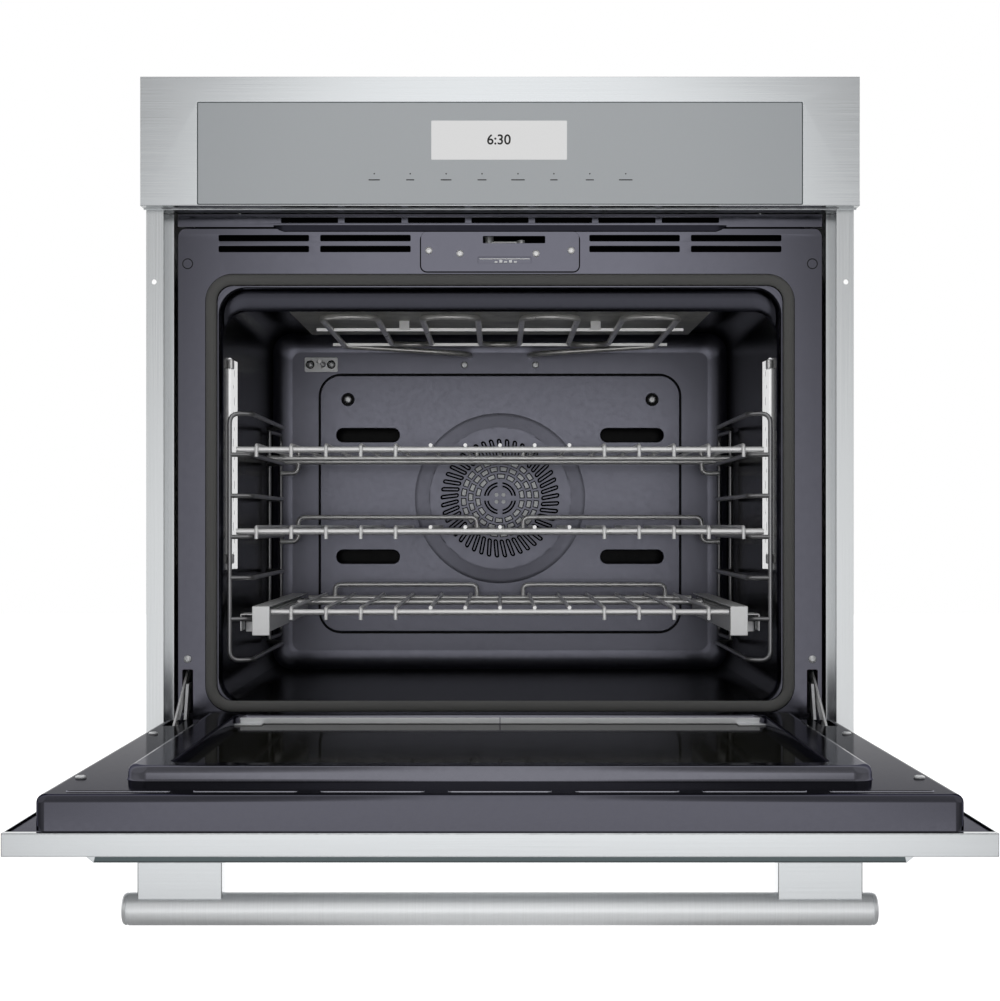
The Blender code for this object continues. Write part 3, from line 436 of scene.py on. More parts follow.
class Piece:
    """Gathers the mesh of one piece, in millimetres."""

    def __init__(self, name):
        self.name = name
        self.work = bmesh.new()

    def loft(self, loops, closed=True, caps=(False, False)):
        """Faces between neighbouring loops of points."""
        rows = [[self.work.verts.new(point) for point in loop] for loop in loops]
        count = len(rows[0])
        for near, far in zip(rows, rows[1:]):
            for i in range(count if closed else count - 1):
                j = (i + 1) % count
                self.work.faces.new((near[i], near[j], far[j], far[i]))
        if caps[0]:
            self.work.faces.new(rows[0][::-1])
        if caps[1]:
            self.work.faces.new(rows[-1])
        return self

    def turned(self, profile, centre, axis="Y", segments=24):
        """A turned form from (distance along the axis, radius) pairs."""
        first, second, along = AXES[axis]
        loops = []
        for distance, radius in profile:
            loop = []
            for i in range(segments):
                angle = 2 * math.pi * i / segments
                point = Vector(centre)
                point[first] += radius * math.cos(angle)
                point[second] += radius * math.sin(angle)
                point[along] += distance
                loop.append(point)
            loops.append(loop)
        return self.loft(loops, caps=(True, True))

    def tube(self, path, radius, sides=12, closed=False):
        """A round wire along a path."""
        points = [Vector(p) for p in path]
        count = len(points)
        loops = []
        normal = None
        for i, point in enumerate(points):
            if closed:
                tangent = points[(i + 1) % count] - points[i - 1]
            else:
                tangent = points[min(i + 1, count - 1)] - points[max(i - 1, 0)]
            tangent.normalize()
            if normal is None:
                normal = tangent.orthogonal().normalized()
            normal = (normal - tangent * normal.dot(tangent)).normalized()
            side = tangent.cross(normal)
            loops.append([point + radius * (normal * math.cos(2 * math.pi * k / sides)
                                            + side * math.sin(2 * math.pi * k / sides))
                          for k in range(sides)])
        if closed:
            return self.loft(loops + loops[:1])
        return self.loft(loops, caps=(True, True))

    def block(self, low, high, radius, segments=2):
        """A box with eased edges."""
        low = Vector(low)
        high = Vector(high)
        verts = bmesh.ops.create_cube(self.work, size=1.0)["verts"]
        bmesh.ops.scale(self.work, vec=high - low, verts=verts)
        bmesh.ops.translate(self.work, vec=(low + high) / 2, verts=verts)
        if radius > 0:
            edges = list(dict.fromkeys(edge for vert in verts for edge in vert.link_edges))
            bmesh.ops.bevel(self.work, geom=edges, offset=radius, segments=segments, profile=0.5,
                            affect="EDGES")
        return self

    def side_block(self, side, near, far, y_range, z_range, radius):
        """A block on one side of the oven, between near and far from its middle."""
        x_low, x_high = span(side, near, far)
        return self.block((x_low, y_range[0], z_range[0]), (x_high, y_range[1], z_range[1]), radius)

    def side_blocks(self, side, *boxes):
        """Several blocks; each box says near, far, the Y range, the Z range and the radius."""
        for box in boxes:
            self.side_block(side, *box)
        return self

    def plate(self, outer, holes, at, thickness, plane="XZ", bevel=0.3):
        """A flat sheet with holes. Its face is at `at`: towards -Y, +Z or +X, and the sheet is behind."""
        curve = bpy.data.curves.new(self.name, "CURVE")
        curve.dimensions = "2D"
        curve.fill_mode = "BOTH"
        curve.bevel_depth = bevel
        curve.bevel_resolution = 1 if bevel < 1 else 3
        curve.offset = -bevel
        curve.extrude = thickness / 2 - bevel
        for points, reverse in [(outer, False)] + [(hole, True) for hole in holes]:
            spline = curve.splines.new("POLY")
            spline.points.add(len(points) - 1)
            for spot, (a, b) in zip(spline.points, points[::-1] if reverse else points):
                spot.co = (a, b, 0.0, 1.0)
            spline.use_cyclic_u = True
        guide = add_object(self.name + "_guide", curve)
        graph = bpy.context.evaluated_depsgraph_get()
        mesh = bpy.data.meshes.new_from_object(guide.evaluated_get(graph))
        bpy.data.objects.remove(guide, do_unlink=True)
        shift = {"XZ": (0, at + thickness / 2, 0), "XY": (0, 0, at - thickness / 2),
                 "YZ": (at - thickness / 2, 0, 0)}[plane]
        mesh.transform(Matrix.Translation(shift) @ PLANES[plane])
        for face in mesh.polygons:
            face.material_index = 0
        self.work.from_mesh(mesh)
        bpy.data.meshes.remove(mesh)
        return self

    def to_object(self, materials):
        """The gathered mesh as an object, in metres."""
        mesh = bpy.data.meshes.new(self.name)
        self.work.to_mesh(mesh)
        self.work.free()
        mesh.transform(Matrix.Scale(MM, 4))
        for material in materials:
            mesh.materials.append(material)
        return add_object(self.name, mesh)

    def done(self, material, slot_name, replaced=(), body="chassis", paint=None):
        """Makes the object, riding on its body. paint gives a face's material number."""
        work = self.work
        bmesh.ops.remove_doubles(work, verts=work.verts, dist=0.002)
        bmesh.ops.recalc_face_normals(work, faces=work.faces)
        for face in work.faces:
            face.material_index = paint(face.calc_center_median(), face.normal) if paint else 0
        piece = self.to_object(material if isinstance(material, list) else [material])
        piece.data.shade_smooth()
        piece.data.set_sharp_from_angle(angle=math.radians(SHARP_ANGLE))
        normals = piece.modifiers.new("weighted_normals", "WEIGHTED_NORMAL")
        normals.keep_sharp = True
        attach(piece, body)
        if replaced:
            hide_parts(*replaced)
        return piece


def thin_sheet(name, outer, holes, at, thickness, bevel, look, slot_name):
    """A piece of the chassis that is one upright plate."""
    Piece(name).plate(outer, holes, at, thickness, bevel=bevel).done(look, slot_name)


def span(side, near, far):
    """The X range from near to far on one side, in rising order."""
    return sorted((side * near, side * far))


def screw(piece, centre, radius, height, axis="Y", facing=-1, recess=True):
    """A pan head screw with a round recess, standing out towards facing."""
    profile = [(0, radius * 0.98), (facing * height * 0.45, radius), (facing * height * 0.8, radius * 0.86),
               (facing * height, radius * 0.6)]
    if recess:
        profile += [(facing * height, radius * 0.36), (facing * height * 0.3, radius * 0.3)]
    piece.turned(profile, centre, axis, 20)


def screws(name, centres, radius, height, look=CHROME_SATIN, axis="Y", facing=-1, body="chassis"):
    """One piece of equal screws."""
    piece = Piece(name)
    for centre in centres:
        screw(piece, centre, radius, height, axis, facing)
    piece.done(look, "chrome", body=body)


# ---- control panel

def make_panel_frame():
    """Folded steel frame round the control glass, with the shelf behind its lower edge."""
    half = PANEL_HIGH.x
    bottom, top = PANEL_LOW.z, PANEL_HIGH.z
    front, rear = PANEL_LOW.y, -0.6
    wall = 1.2
    window = rectangle(GLASS_LOW.x - 0.3, GLASS_HIGH.x + 0.3, GLASS_LOW.z - 0.4, GLASS_HIGH.z + 0.3, 1.0, 2)
    piece = Piece("panel_frame")
    piece.plate(rectangle(-half, half, bottom, top), [window], front, wall, bevel=0.55)
    piece.block((-half, front + 0.5, top - wall), (half, rear, top), 0.3)
    piece.block((-half, front + 0.5, bottom), (half, rear, bottom + wall), 0.3)
    piece.block((-half, -2.8, bottom - 1.2), (half, -1.8, bottom + wall), 0.2)
    for side in SIDES:
        piece.side_block(side, half - wall, half, (front + 0.5, rear), (bottom, top), 0.3)
    # Its downward faces along the bottom take the dark steel, as painted shade under the panel.
    piece.done([STEEL_X, STEEL_SHADED], "stainless", ["control_panel_frame"],
               paint=lambda centre, normal: 1 if normal.z < -0.7 and centre.z < bottom + 1 else 0)
    shelf = Piece("panel_shelf")
    holes = [circle(x, 0, 2.2, 12) for x in (-352.5, 352.5)]
    shelf.plate(rectangle(-358.6, 358.6, -12, PANEL_HIGH.y, 2, 3), holes, bottom + wall, wall, "XY", 0.2)
    for x in (-335, -112, 0, 112, 335):
        screw(shelf, (x, 6, bottom), 3.0, 1.4, "Z", -1)
    shelf.done(ZINC_SHADED, "galvanised")


def make_panel_glass():
    piece = Piece("panel_glass")
    piece.block(GLASS_LOW, GLASS_HIGH, 0.5)
    piece.done(GREY_GLASS, "panel_glass", ["control_glass"])
    outer, inner = (shrunk(GLASS_LOW.xz, GLASS_HIGH.xz, inset, 1, 2) for inset in (-0.2, 0.5))
    # A dark rim round the glass: painted shadow of its recess.
    thin_sheet("panel_glass_rim", outer, [inner], GLASS_LOW.y - 0.1, 0.8, 0.1, STEEL_SHADED, "stainless")


def make_screen():
    """Light display with a clock, and the row of touch marks under it."""
    front = GLASS_LOW.y
    outer = rectangle(-72.2, 70.4, 652.8, 693.8, 0.6, 2)
    thin_sheet("panel_screen", outer, (), front - 0.12, 0.5, 0.05, SCREEN, "panel_glass")
    text = bpy.data.curves.new("clock_digits", "FONT")
    text.body = "6:30"
    text.size = 14.8 * MM
    text.offset = 0.22 * MM
    text.align_x = "CENTER"
    text.align_y = "CENTER"
    text.extrude = 0.02 * MM
    digits = add_object("clock_digits", text)
    digits.rotation_euler = (math.radians(90), 0, 0)
    digits.location = Vector((-1.2, front - 0.16, 673.4)) * MM
    text.materials.append(INK)
    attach(digits, "chassis")
    marks = Piece("touch_marks")
    widths = (7.5, 5.4, 7.2, 6.0, 9.0, 5.0, 5.4, 9.0)
    pitch, dot_z, bar_z = 37.75, 638.0, 631.6
    for index, width in enumerate(widths):
        x = pitch * (index - 3.5)
        for mark in (circle(x, dot_z, 0.75, 16), slot(x, bar_z, width * 0.8, 0.55)):
            marks.plate(mark, (), front - 0.1, 0.2, bevel=0.03)
    marks.done(INK, "plastic")


# ---- vents, frame and latch

def make_vents():
    low, high = node_box("vent_grille")
    grille = Piece("top_grille")
    pitch, slot_z = 68.4, 597.5
    holes = [slot(pitch * i, slot_z, 30.6, 2.95, 0.9) for i in range(-3, 4)]
    grille.plate(rectangle(low.x, high.x, low.z, high.z), holes, low.y, 1.5)
    grille.block((low.x, low.y - 1.0, high.z - 1.2), (high.x, low.y + 12, high.z), 0.4)
    grille.done(ENAMEL_SIDE_SHADED, "enamel", ["vent_grille"])
    low, high = node_box("vent_lip")
    lip = Piece("steam_lip")
    loops = []
    top = high.z
    for x, fall in ((low.x, 1.0), (low.x + 6, 5.0), (low.x + 11, 6.7), (high.x - 11, 6.7),
                    (high.x - 6, 5.0), (high.x, 1.0)):
        depth = fall * 0.43
        loops.append([(x, high.y, top), (x, high.y - depth * 0.7, top), (x, high.y - depth, top - 0.6),
                      (x, high.y - depth * 0.9, top - fall + 0.3), (x, high.y, top - fall)])
    lip.loft(loops, caps=(True, True))
    lip.done(BLACK_LIP, "black_paint", ["vent_lip"])
    void = Piece("vent_shadow")
    for x_low, x_high, y, z_low, z_high in ((-330, 330, 39, 590, 602), (-330, -62, 39, 556, 590.2),
                                            (62, 330, 39, 556, 590.2), (-62, 62, 62, 556, 590)):
        void.block((x_low, y, z_low), (x_high, y + 1, z_high), 0.2)
    void.done(SHADE_BLACK, "black_paint")


def make_front_frame():
    """Pressed frame round the mouth, with its vents, hinge slots and turned rim."""
    piece = Piece("frame_sheet")
    half = FRAME_HIGH.x
    holes = [rectangle(-CAVITY_HALF - 3, CAVITY_HALF + 3, CAVITY_FLOOR - 3, CAVITY_CEILING + 3, 29, 8)]
    hinge_slot_z, screw_z, plug_z = 89.5, 124.4, 550.4
    vent_rows, vent_columns = (566.3, 578.1), (-254.5, -145.0, 145.0, 254.5)
    holes += [slot(x, z, 48.5, 3.2, 1.2) for z in vent_rows for x in vent_columns]
    holes += [slot(side * FASTENER_X, hinge_slot_z, 5.5, 23.5, 1.5) for side in SIDES]
    holes.append(slot(*LATCH_SLOT, 1.2))
    outer = rectangle(-half, half, FRAME_LOW.z, FRAME_HIGH.z, 9, 5)
    piece.plate(outer, holes, FRONT_Y, 1.5, bevel=0.5)
    piece.loft([standing(outer, y) for y in (FRONT_Y + 0.6, FRONT_Y + 3.5, FRAME_HIGH.y)])
    piece.done(ENAMEL_SIDE_SHADED, "enamel", ["front_frame"])

    screws("frame_fasteners", [(side * FASTENER_X, FRONT_Y, screw_z) for side in SIDES], 4.2, 2.0)
    plugs = Piece("frame_plugs")
    for side in SIDES:
        ring = circle(side * FASTENER_X, plug_z, 5.3, 32)
        plugs.tube(standing(ring, FRONT_Y - 0.1), 0.55, 8, True)
    plugs.done(BLACK_PAINT, "black_paint")
    # A flat black ring round the gasket: painted shade of the groove it sits in.
    half = CAVITY_HALF + 17.6
    outer = rectangle(-half, half, CAVITY_FLOOR - 11.6, CAVITY_CEILING + 17.6, 30, 12)
    inner = rectangle(-half + 13, half - 13, CAVITY_FLOOR + 1.4, CAVITY_CEILING + 4.6, 18, 12)
    thin_sheet("gasket_groove_shade", outer, [inner], FRONT_Y - 0.15, 0.5, 0.1, SHADE_BLACK, "black_paint")


def make_latch():
    face = FRONT_Y - 1.5
    plate = Piece("latch_cover")
    outer = rectangle(-85.2, 85.2, 541.8, 585.0, 6.5, 5)
    holes = [slot(*LATCH_SLOT, 1.0), slot(4.85, 554.2, 28.5, 3.3, 0.6)]
    plate.plate(outer, holes, face, 1.4, bevel=0.35)
    plate.done(ENAMEL_SIDE_SHADED, "enamel", ["latch_plate"])
    # A black outline round the latch cover: painted shade of its seam.
    outer = rectangle(-86.3, 86.3, 540.7, 584.0, 7.6, 5)
    inner = rectangle(-83, 83, 544, 582.0, 5, 5)
    thin_sheet("latch_seam_shade", outer, [inner], FRONT_Y - 0.15, 0.5, 0.1, SHADE_BLACK, "black_paint")
    tray = Piece("latch_tray")
    tray.block((-26, FRONT_Y - 0.2, 549), (36, FRONT_Y + 0.4, 559.5), 0.1)
    tray.done(ENAMEL_SIDE_SHADED, "enamel")
    teeth = Piece("latch_teeth")
    for index in range(5):
        x = -6 + 5.2 * index
        teeth.block((x, face + 0.3, 551.3), (x + 3.4, FRONT_Y, 553.2 + 1.2 * (index % 2)), 0.3)
    teeth.block((-22, face + 0.4, 555.0), (32, face + 1.2, 556.0), 0.2)
    teeth.done(CHROME_SATIN, "chrome")
    spots = ((-76.6, 564.4), (76.6, 564.4), (-43.1, 561.2), (38.8, 561.2))
    screws("latch_screws", [(x, face, z) for x, z in spots], 3.9, 2.0, CHROME)
    hook = Piece("latch_claw")
    x, y, z = -12.0, 50.0, 576.0               # the pin it turns on
    hook.block((x - 4, y - 4, z - 1.4), (x + 38, y + 4, z + 1.4), 0.6)
    hook.block((x + 32, y - 8, z - 1.4), (x + 38, y, z + 1.4), 0.6)
    hook.turned([(-4, 4.6), (-3.4, 5), (7.4, 5), (8, 4.6)], (x, y, z), "Z", 24)
    hook.turned([(-1.9, 3.0), (-1.9, 4.2), (1.9, 4.2), (1.9, 3.0)], (x + 35, y - 5, z), "Z", 20)
    hook.done(CHROME_SATIN, "chrome", ["latch_hook"], body="door_latch")


def make_gasket():
    """Woven seal, pressed into the frame's channel."""
    half = CAVITY_HALF + 10.6
    low = CAVITY_FLOOR - 4.0
    high = CAVITY_CEILING + 10.6
    centre_y = FRONT_Y - 3.4
    path = standing(rectangle(-half, half, low, high, 23, 12), centre_y)
    points = []
    for start, end in zip(path, path[1:] + path[:1]):
        gap = (Vector(end) - Vector(start)).length
        count = max(1, round(gap / 12))
        for step in range(count):
            points.append(Vector(start).lerp(Vector(end), step / count))
    piece = Piece("gasket_rope")
    rope_radius, flattened = 6.0, 0.5
    piece.tube(points, rope_radius, 16, True)
    for vert in piece.work.verts:
        vert.co.y = centre_y + (vert.co.y - centre_y) * flattened
    seal = piece.done(ROPE, "rope", ["gasket"])
    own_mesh(seal)


# ---- cavity

def make_cavity():
    """Formed liner: rolled mouth, hanging lip under the ceiling, coved rear corners."""
    sections = []
    for step in range(7):                       # rolled edge, an ellipse's quarter
        angle = math.radians(15 * step)
        grow = 6.5 * (1 - math.sin(angle))
        sections.append((FRONT_Y - 0.1 + 12.5 * (1 - math.cos(angle)), grow, grow))
    sections += [(42, 0, -2.5), (43.5, 0, -8), (45, 0, -14), (46.4, 0, -18.6), (48, 0, -20.6),
                 (50, 0, -20.8), (51.8, 0, -19), (53.5, 0, -12), (55.5, 0, -3), (58, 0, 0), (120, 0, 0),
                 (250, 0, 0), (380, 0, 0)]
    cove = 24.0
    for step in range(9):
        angle = math.radians(90 * step / 8)
        inset = cove * (1 - math.cos(angle))
        sections.append((CAVITY_REAR - cove + cove * math.sin(angle), -inset, -inset))
    loops = []
    for y, grow, top in sections:
        outline = rectangle(-CAVITY_HALF - grow, CAVITY_HALF + grow, CAVITY_FLOOR - grow,
                            CAVITY_CEILING + top, CAVITY_RADIUS + grow * 0.6, 8)
        loops.append(standing(outline, y))
    walls = Piece("cavity_walls")
    walls.loft(loops)

    # Lit and shaded copies of one enamel by place: painted light on the rear coves and the mouth, painted
    # shade on the walls and the floor.
    def paint(centre, normal):
        if centre.y > CAVITY_REAR - 21:
            return 1
        if centre.y < 39 or (centre.y < 53 and centre.z > CAVITY_CEILING - 40):
            return 3
        return 2 if centre.z < CAVITY_FLOOR + 8 else 0

    looks = [ENAMEL_DARK, ENAMEL_BACK_LIT, ENAMEL_FLOOR_SHADED, ENAMEL_LIP_LIT]
    walls.done(looks, "enamel", ["cavity_liner"], paint=paint)

    back = Piece("cavity_back")
    outer = shrunk((-CAVITY_HALF, CAVITY_FLOOR), (CAVITY_HALF, CAVITY_CEILING), cove,
                   CAVITY_RADIUS - cove * 0.6, 8)
    chamber = rectangle(-226, 226, 138, 456, 10, 4)
    back.plate(outer, [chamber], CAVITY_REAR, 1.2, bevel=0.05)
    back.loft([standing(chamber, y) for y in (CAVITY_REAR + 1, 532)], caps=(False, True))
    # The chamber's inner faces take the near black enamel: painted shade behind the baffle.
    back.done([ENAMEL_BACK_LIT, ENAMEL_DARK], "enamel",
              paint=lambda centre, normal: 1 if centre.y > CAVITY_REAR + 1.3 else 0)


def make_baffle():
    """Cover over the convection fan: raised edge, four vents, and a dished grille."""
    face = BAFFLE_LOW.y
    screw_x, screw_z = 202, 435.4
    dish, guard_radius = 1.6, 94.0
    pad_face = face - dish + 1.4
    outer = shrunk(BAFFLE_LOW.xz, BAFFLE_HIGH.xz, 0, 28, 10)
    holes = [slot(side * 175.3, z, 41.3, 8.5, 8.0) for side in SIDES for z in (226.5, 388.0)]
    holes += [circle(side * screw_x, screw_z, 7.6) for side in SIDES]
    holes.append(circle(0, FAN_Z, 110.0, 72))
    cover = Piece("baffle_cover")
    cover.plate(outer, holes, face, BAFFLE_HIGH.y - face, bevel=1.6)
    rings = ((113.6, 0.5), (113, -0.05), (108, -0.5), (97, 0.4 - dish), (95, -dish), (93, -dish))
    cover.loft([standing(circle(0, FAN_Z, radius, 72), face + step) for radius, step in rings])
    cover.done(ENAMEL_BACK_LIT, "enamel", ["fan_baffle"])
    # A dark outline round the cover: painted shadow of the gap at its edge.
    edge, hole = (shrunk(BAFFLE_LOW.xz, BAFFLE_HIGH.xz, inset, 28 - inset, 10) for inset in (-2.4, 3.0))
    thin_sheet("baffle_seam_shade", edge, [hole], CAVITY_REAR - 0.3, 0.5, 0.1, ENAMEL_DARK, "enamel")
    disc = circle(0, FAN_Z, guard_radius, 60)
    thin_sheet("fan_shadow", disc, (), face + 2.6, 0.8, 0.2, SHADE_BLACK, "black_paint")
    pads = Piece("fan_guard_pads")
    pads.turned([(0, 12), (0.4, 12)], (0, pad_face, FAN_Z), segments=32)
    grille = Piece("baffle_grille")
    holes = []

    def ray(angle, inset):
        """A slot lying along a swept ray of the grille."""
        points = []
        for x, z in rectangle(54.6 + inset, 79.0 - inset, inset - 3.1, 3.1 - inset, 3.0 - inset, 3):
            lean = math.radians(angle + (x - 55.3) * 0.14)
            points.append((x * math.cos(lean) - z * math.sin(lean),
                           FAN_Z + x * math.sin(lean) + z * math.cos(lean)))
        return points

    vanes = Piece("fan_guard_vanes")
    for index in range(45):
        holes.append(ray(8 * index, 0))
        vanes.plate(ray(8 * index, 2.05), (), pad_face, 1.0, bevel=0.2)
    for radius, count, width in ((48.3, 24, 7.0), (38.9, 19, 6.8), (29.4, 14, 6.6)):
        for index in range(count):
            start, sweep = 360 * index / count, 360 / count * 0.78
            edge = math.degrees(1.0 / radius)
            holes.append(arc_slot(0, FAN_Z, radius, width, start, sweep))
            pads.plate(arc_slot(0, FAN_Z, radius, width - 2.0, start + edge, sweep - 2 * edge), (),
                       pad_face, 1.0, bevel=0.2)
    for index in range(4):
        quarter = 90 * index
        holes.append(arc_slot(0, FAN_Z, 20.5, 2.2, quarter + 9, 72))
        holes.append(arc_slot(0, FAN_Z, 16.4, 2.2, quarter + 12, 66))
        angle = math.radians(quarter + 45)
        holes.append(circle(6.6 * math.cos(angle), FAN_Z + 6.6 * math.sin(angle), 2.7, 14))
    grille.plate(circle(0, FAN_Z, guard_radius, 72), holes, face - dish, 1.1, bevel=0.15)
    grille.done(ENAMEL_BACK_LIT, "enamel")
    pads.done(GUARD_STEEL, "galvanised")
    vanes.done(ENAMEL_BACK_LIT, "enamel")

    fasteners = Piece("rear_wall_screws")
    for side in SIDES:
        screw(fasteners, (side * screw_x, face + 2.6, screw_z), 4.7, 2.4, recess=False)
        screw(fasteners, (side * 47.2, CAVITY_REAR, 481.6), 4.6, 2.4, recess=False)
    fasteners.done(STEEL_SOFT, "chrome")
    # Dark discs behind the screw holes: painted shade in the holes.
    seats = Piece("screw_hole_shade")
    for side in SIDES:
        seats.turned([(2.2, 9.5), (3.0, 9.5)], (side * screw_x, face, screw_z))
    seats.done(ENAMEL_DARK, "enamel")


def make_probe():
    low, high = node_box("temperature_probe")
    x = (low.x + high.x) / 2
    z = (low.z + high.z) / 2
    face = high.y - 2.2
    plate = Piece("probe_plate")
    plate.plate(rectangle(low.x, high.x, low.z, high.z, 2.2, 4), [circle(x + 3, z, 3.2, 16)],
                face, 1.6, bevel=0.3)
    seats = (x - 14.5, x + 13.5)
    for seat in seats:
        plate.turned([(0, 5.8), (-0.7, 5.6), (-0.9, 4.9)], (seat, face, z))
    plate.done(STEEL_SOFT, "chrome", ["temperature_probe"])
    screws("probe_screws", [(seat, high.y - 3.0, z) for seat in seats], 4.2, 2.2)
    # Black rings round the probe's screws: painted shade of the gaps round their heads.
    rings = Piece("probe_ring_shade")
    for seat in seats:
        rings.tube(standing(circle(seat, z, 4.9, 20), high.y - 3.1), 0.7, 8, True)
    rings.done(SHADE_BLACK, "black_paint")
    stem = Piece("probe_stem")
    stem.tube(bent([(x + 3, high.y, z), (x + 3, 470, z), (x + 3, 444, z)], 6), 2.4, 12)
    stem.tube(bent([(x - 5, high.y - 3, z + 3), (x - 4, high.y - 8, z + 5.5), (x + 2, high.y - 8, z + 4),
                    (x + 1, high.y - 8, z - 5)], 3), 0.9, 8)
    stem.done(CHROME, "chrome")


def make_lamps():
    """Side lamps: a perforated cover that glows, with clips, and a dark pane behind it."""
    for side, tag in TAGGED_SIDES:
        lens = Piece("lamp_lens_" + tag)
        lens.side_block(side, 299.0, 299.8, (86, 149), (224, 453), 0.3)
        lens.done(ENAMEL_DARK, "door_glass", ["oven_lamp_" + tag])
        cover = Piece("lamp_cover_" + tag)
        holes = [slot(101 + 9 * (row % 2), 236 + 15.6 * row, 3.6, 2.6 + 1.2 * (row % 3), 2.2, 3)
                 for row in range(14)]
        at = side * 297.4 + (0.6 if side > 0 else 0)
        cover.plate(rectangle(80, 130, 220, 453, 5, 4), holes, at, 0.6, "YZ", 0.15)
        for y in (79.4, 127.4):
            cover.side_block(side, 297.2, 300, (y, y + 3.2), (219.4, 453.6), 0.5)
        cover.done(GLOW, "chrome")
        clips = Piece("lamp_clips_" + tag)
        for z in (226, 441):
            clips.side_block(side, 294.6, 299.6, (74, 88), (z, z + 11), 1.6)
        for z in (184, 360):
            clips.side_block(side, 296.1, 298.1, (58, 64), (z, z + 12), 0.8)
        clips.done(CHROME, "chrome")


# ---- heating

def make_broil():
    """Four hairpins under the ceiling, carried by two strips and hanging straps."""
    z = 502.0
    front, rear = 106.0, 428.0
    rods = Piece("broil_rods")
    ends = (-201.7, -139.0, -88.0, -25.0, 25.0, 88.0, 139.0, 201.7)
    path = [(-40, 514, z - 8), (-40, 470, z - 9), (-70, 452, z - 8), (-201.7, 440, z - 1)]
    for index, x in enumerate(ends):
        runs = (rear, front) if index % 2 == 0 else (front, rear)
        path += [(x, runs[0], z), (x, runs[1], z)]
    path += [(201.7, 440, z - 1), (70, 452, z - 8), (40, 470, z - 9), (40, 514, z - 8)]
    bend_radius, rod_radius = 31, 3.5
    rods.tube(bent(path, bend_radius, 10), rod_radius, 14)
    rods.done(ELEMENT, "element_metal", ["broil_element"])
    strips = Piece("broil_strips")
    for y, half in ((246, 219), (430, 216)):
        section = ((y - 1.2, z + 1.8), (y - 0.7, z - 1.6), (y - 0.2, z - 1.9), (y + 1.0, z - 1.9),
                   (y + 1.2, z + 1.6), (y + 0.8, z + 2.0), (y - 0.8, z + 2.0))
        strips.loft([[(x, *point) for point in section] for x in (-half, half)], caps=(True, True))
    for x in (-114, 114):
        strips.block((x - 6, 240, z - 1), (x + 6, 241.2, 521.5), 0.4)
    strips.done(STRIP, "element_metal")
    reflector = Piece("broil_reflector")
    sections = ((90, 236, 514), (92, 240, 512), (180, 240, 511.5), (400, 240, 512), (404, 236, 514))
    reflector.loft([[(-half - 8, y, 521), (-half, y, height), (half, y, height), (half + 8, y, 521)]
                    for y, half, height in sections], closed=False)
    reflector.done(REFLECTOR, "element_metal")


# ---- racks

def make_side_racks():
    """Ladders that carry the racks."""
    low, pitch, count = 122.2, 44.6, 7
    top = low + pitch * (count - 1)
    radius = 2.5
    for side, tag in TAGGED_SIDES:
        wall, shelf = side * 293, side * 270
        front, rear, loop_end = 40, 388, 468

        def rung(z):
            corners = ((wall, front), (shelf, front + 8), (shelf, 346), (wall, 366), (wall, rear))
            return lying(corners, z)

        ladder = Piece("ladder_" + tag)
        ladder.tube(bent(rung(low)[::-1] + rung(top), 11, 6), radius)
        for index in range(1, count - 1):
            ladder.tube(bent(rung(top - pitch * index), 10, 5), radius)
        back = side * 288
        ladder.tube(bent([(wall, rear, low - 1), (wall, rear, top + 1)], 5), radius)
        loop = [(wall, rear, low + 3), (back, loop_end, low + 3), (back, loop_end, top - 3),
                (wall, rear, top - 3)]
        ladder.tube(bent(loop, 12, 6), radius)
        # The ladders take the darkened chrome: painted shade.
        ladder.done(SHADED_WIRE, "dark_wire", ["side_rack_" + tag])


def rack_piece(name, level, half, steps, hooks, body, replaced):
    """A chromed rack: long wires over three bars, bent noses, and a guard at the rear."""
    front, rear = 50.0, 452.0
    wire, bar, guard = 2.1, 3.3, 2.9           # radii
    pitch, nose = 37.8, 5.6
    over = level + bar + wire - 0.5
    rack = Piece(name)
    for step in range(-steps, steps + 1):
        x = pitch * step
        if abs(step) >= 3:
            run = bent([(x, front - nose, level - 8), (x, front - nose, over), (x, rear - 2, over)], 6, 6)
        else:
            run = [(x, front - 1, over), (x, rear - 2, over)]
        rack.tube(run, wire, 10)
    for y in (front, front + (rear - front) * 0.66, rear - 4):
        rack.tube([(x, y, level) for x in (-half, -half + 1, half - 1, half)], bar, 14)
    top = level + 17
    y = rear - 4
    reach = 263 if hooks else 215
    for side in SIDES:
        corners = [(30, level), (30, top), (reach, top)]
        corners += [(reach, level - 15), (286, level - 15)] if hooks else [(reach, level)]
        rack.tube(bent([(side * x, y, z) for x, z in corners], 9, 6), guard, 12)
    rack.done(CHROME, "chrome", replaced, body=body)


def make_racks():
    rack_piece("rack_top", 351.0, 287.0, 7, True, "upper_rack", ["rack_upper"])
    rack_piece("rack_mid", 261.8, 287.0, 7, True, "middle_rack", ["rack_middle"])
    rack_piece("rack_low", 174.0, 249.2, 6, False, "lower_rack", ["rack_lower"])


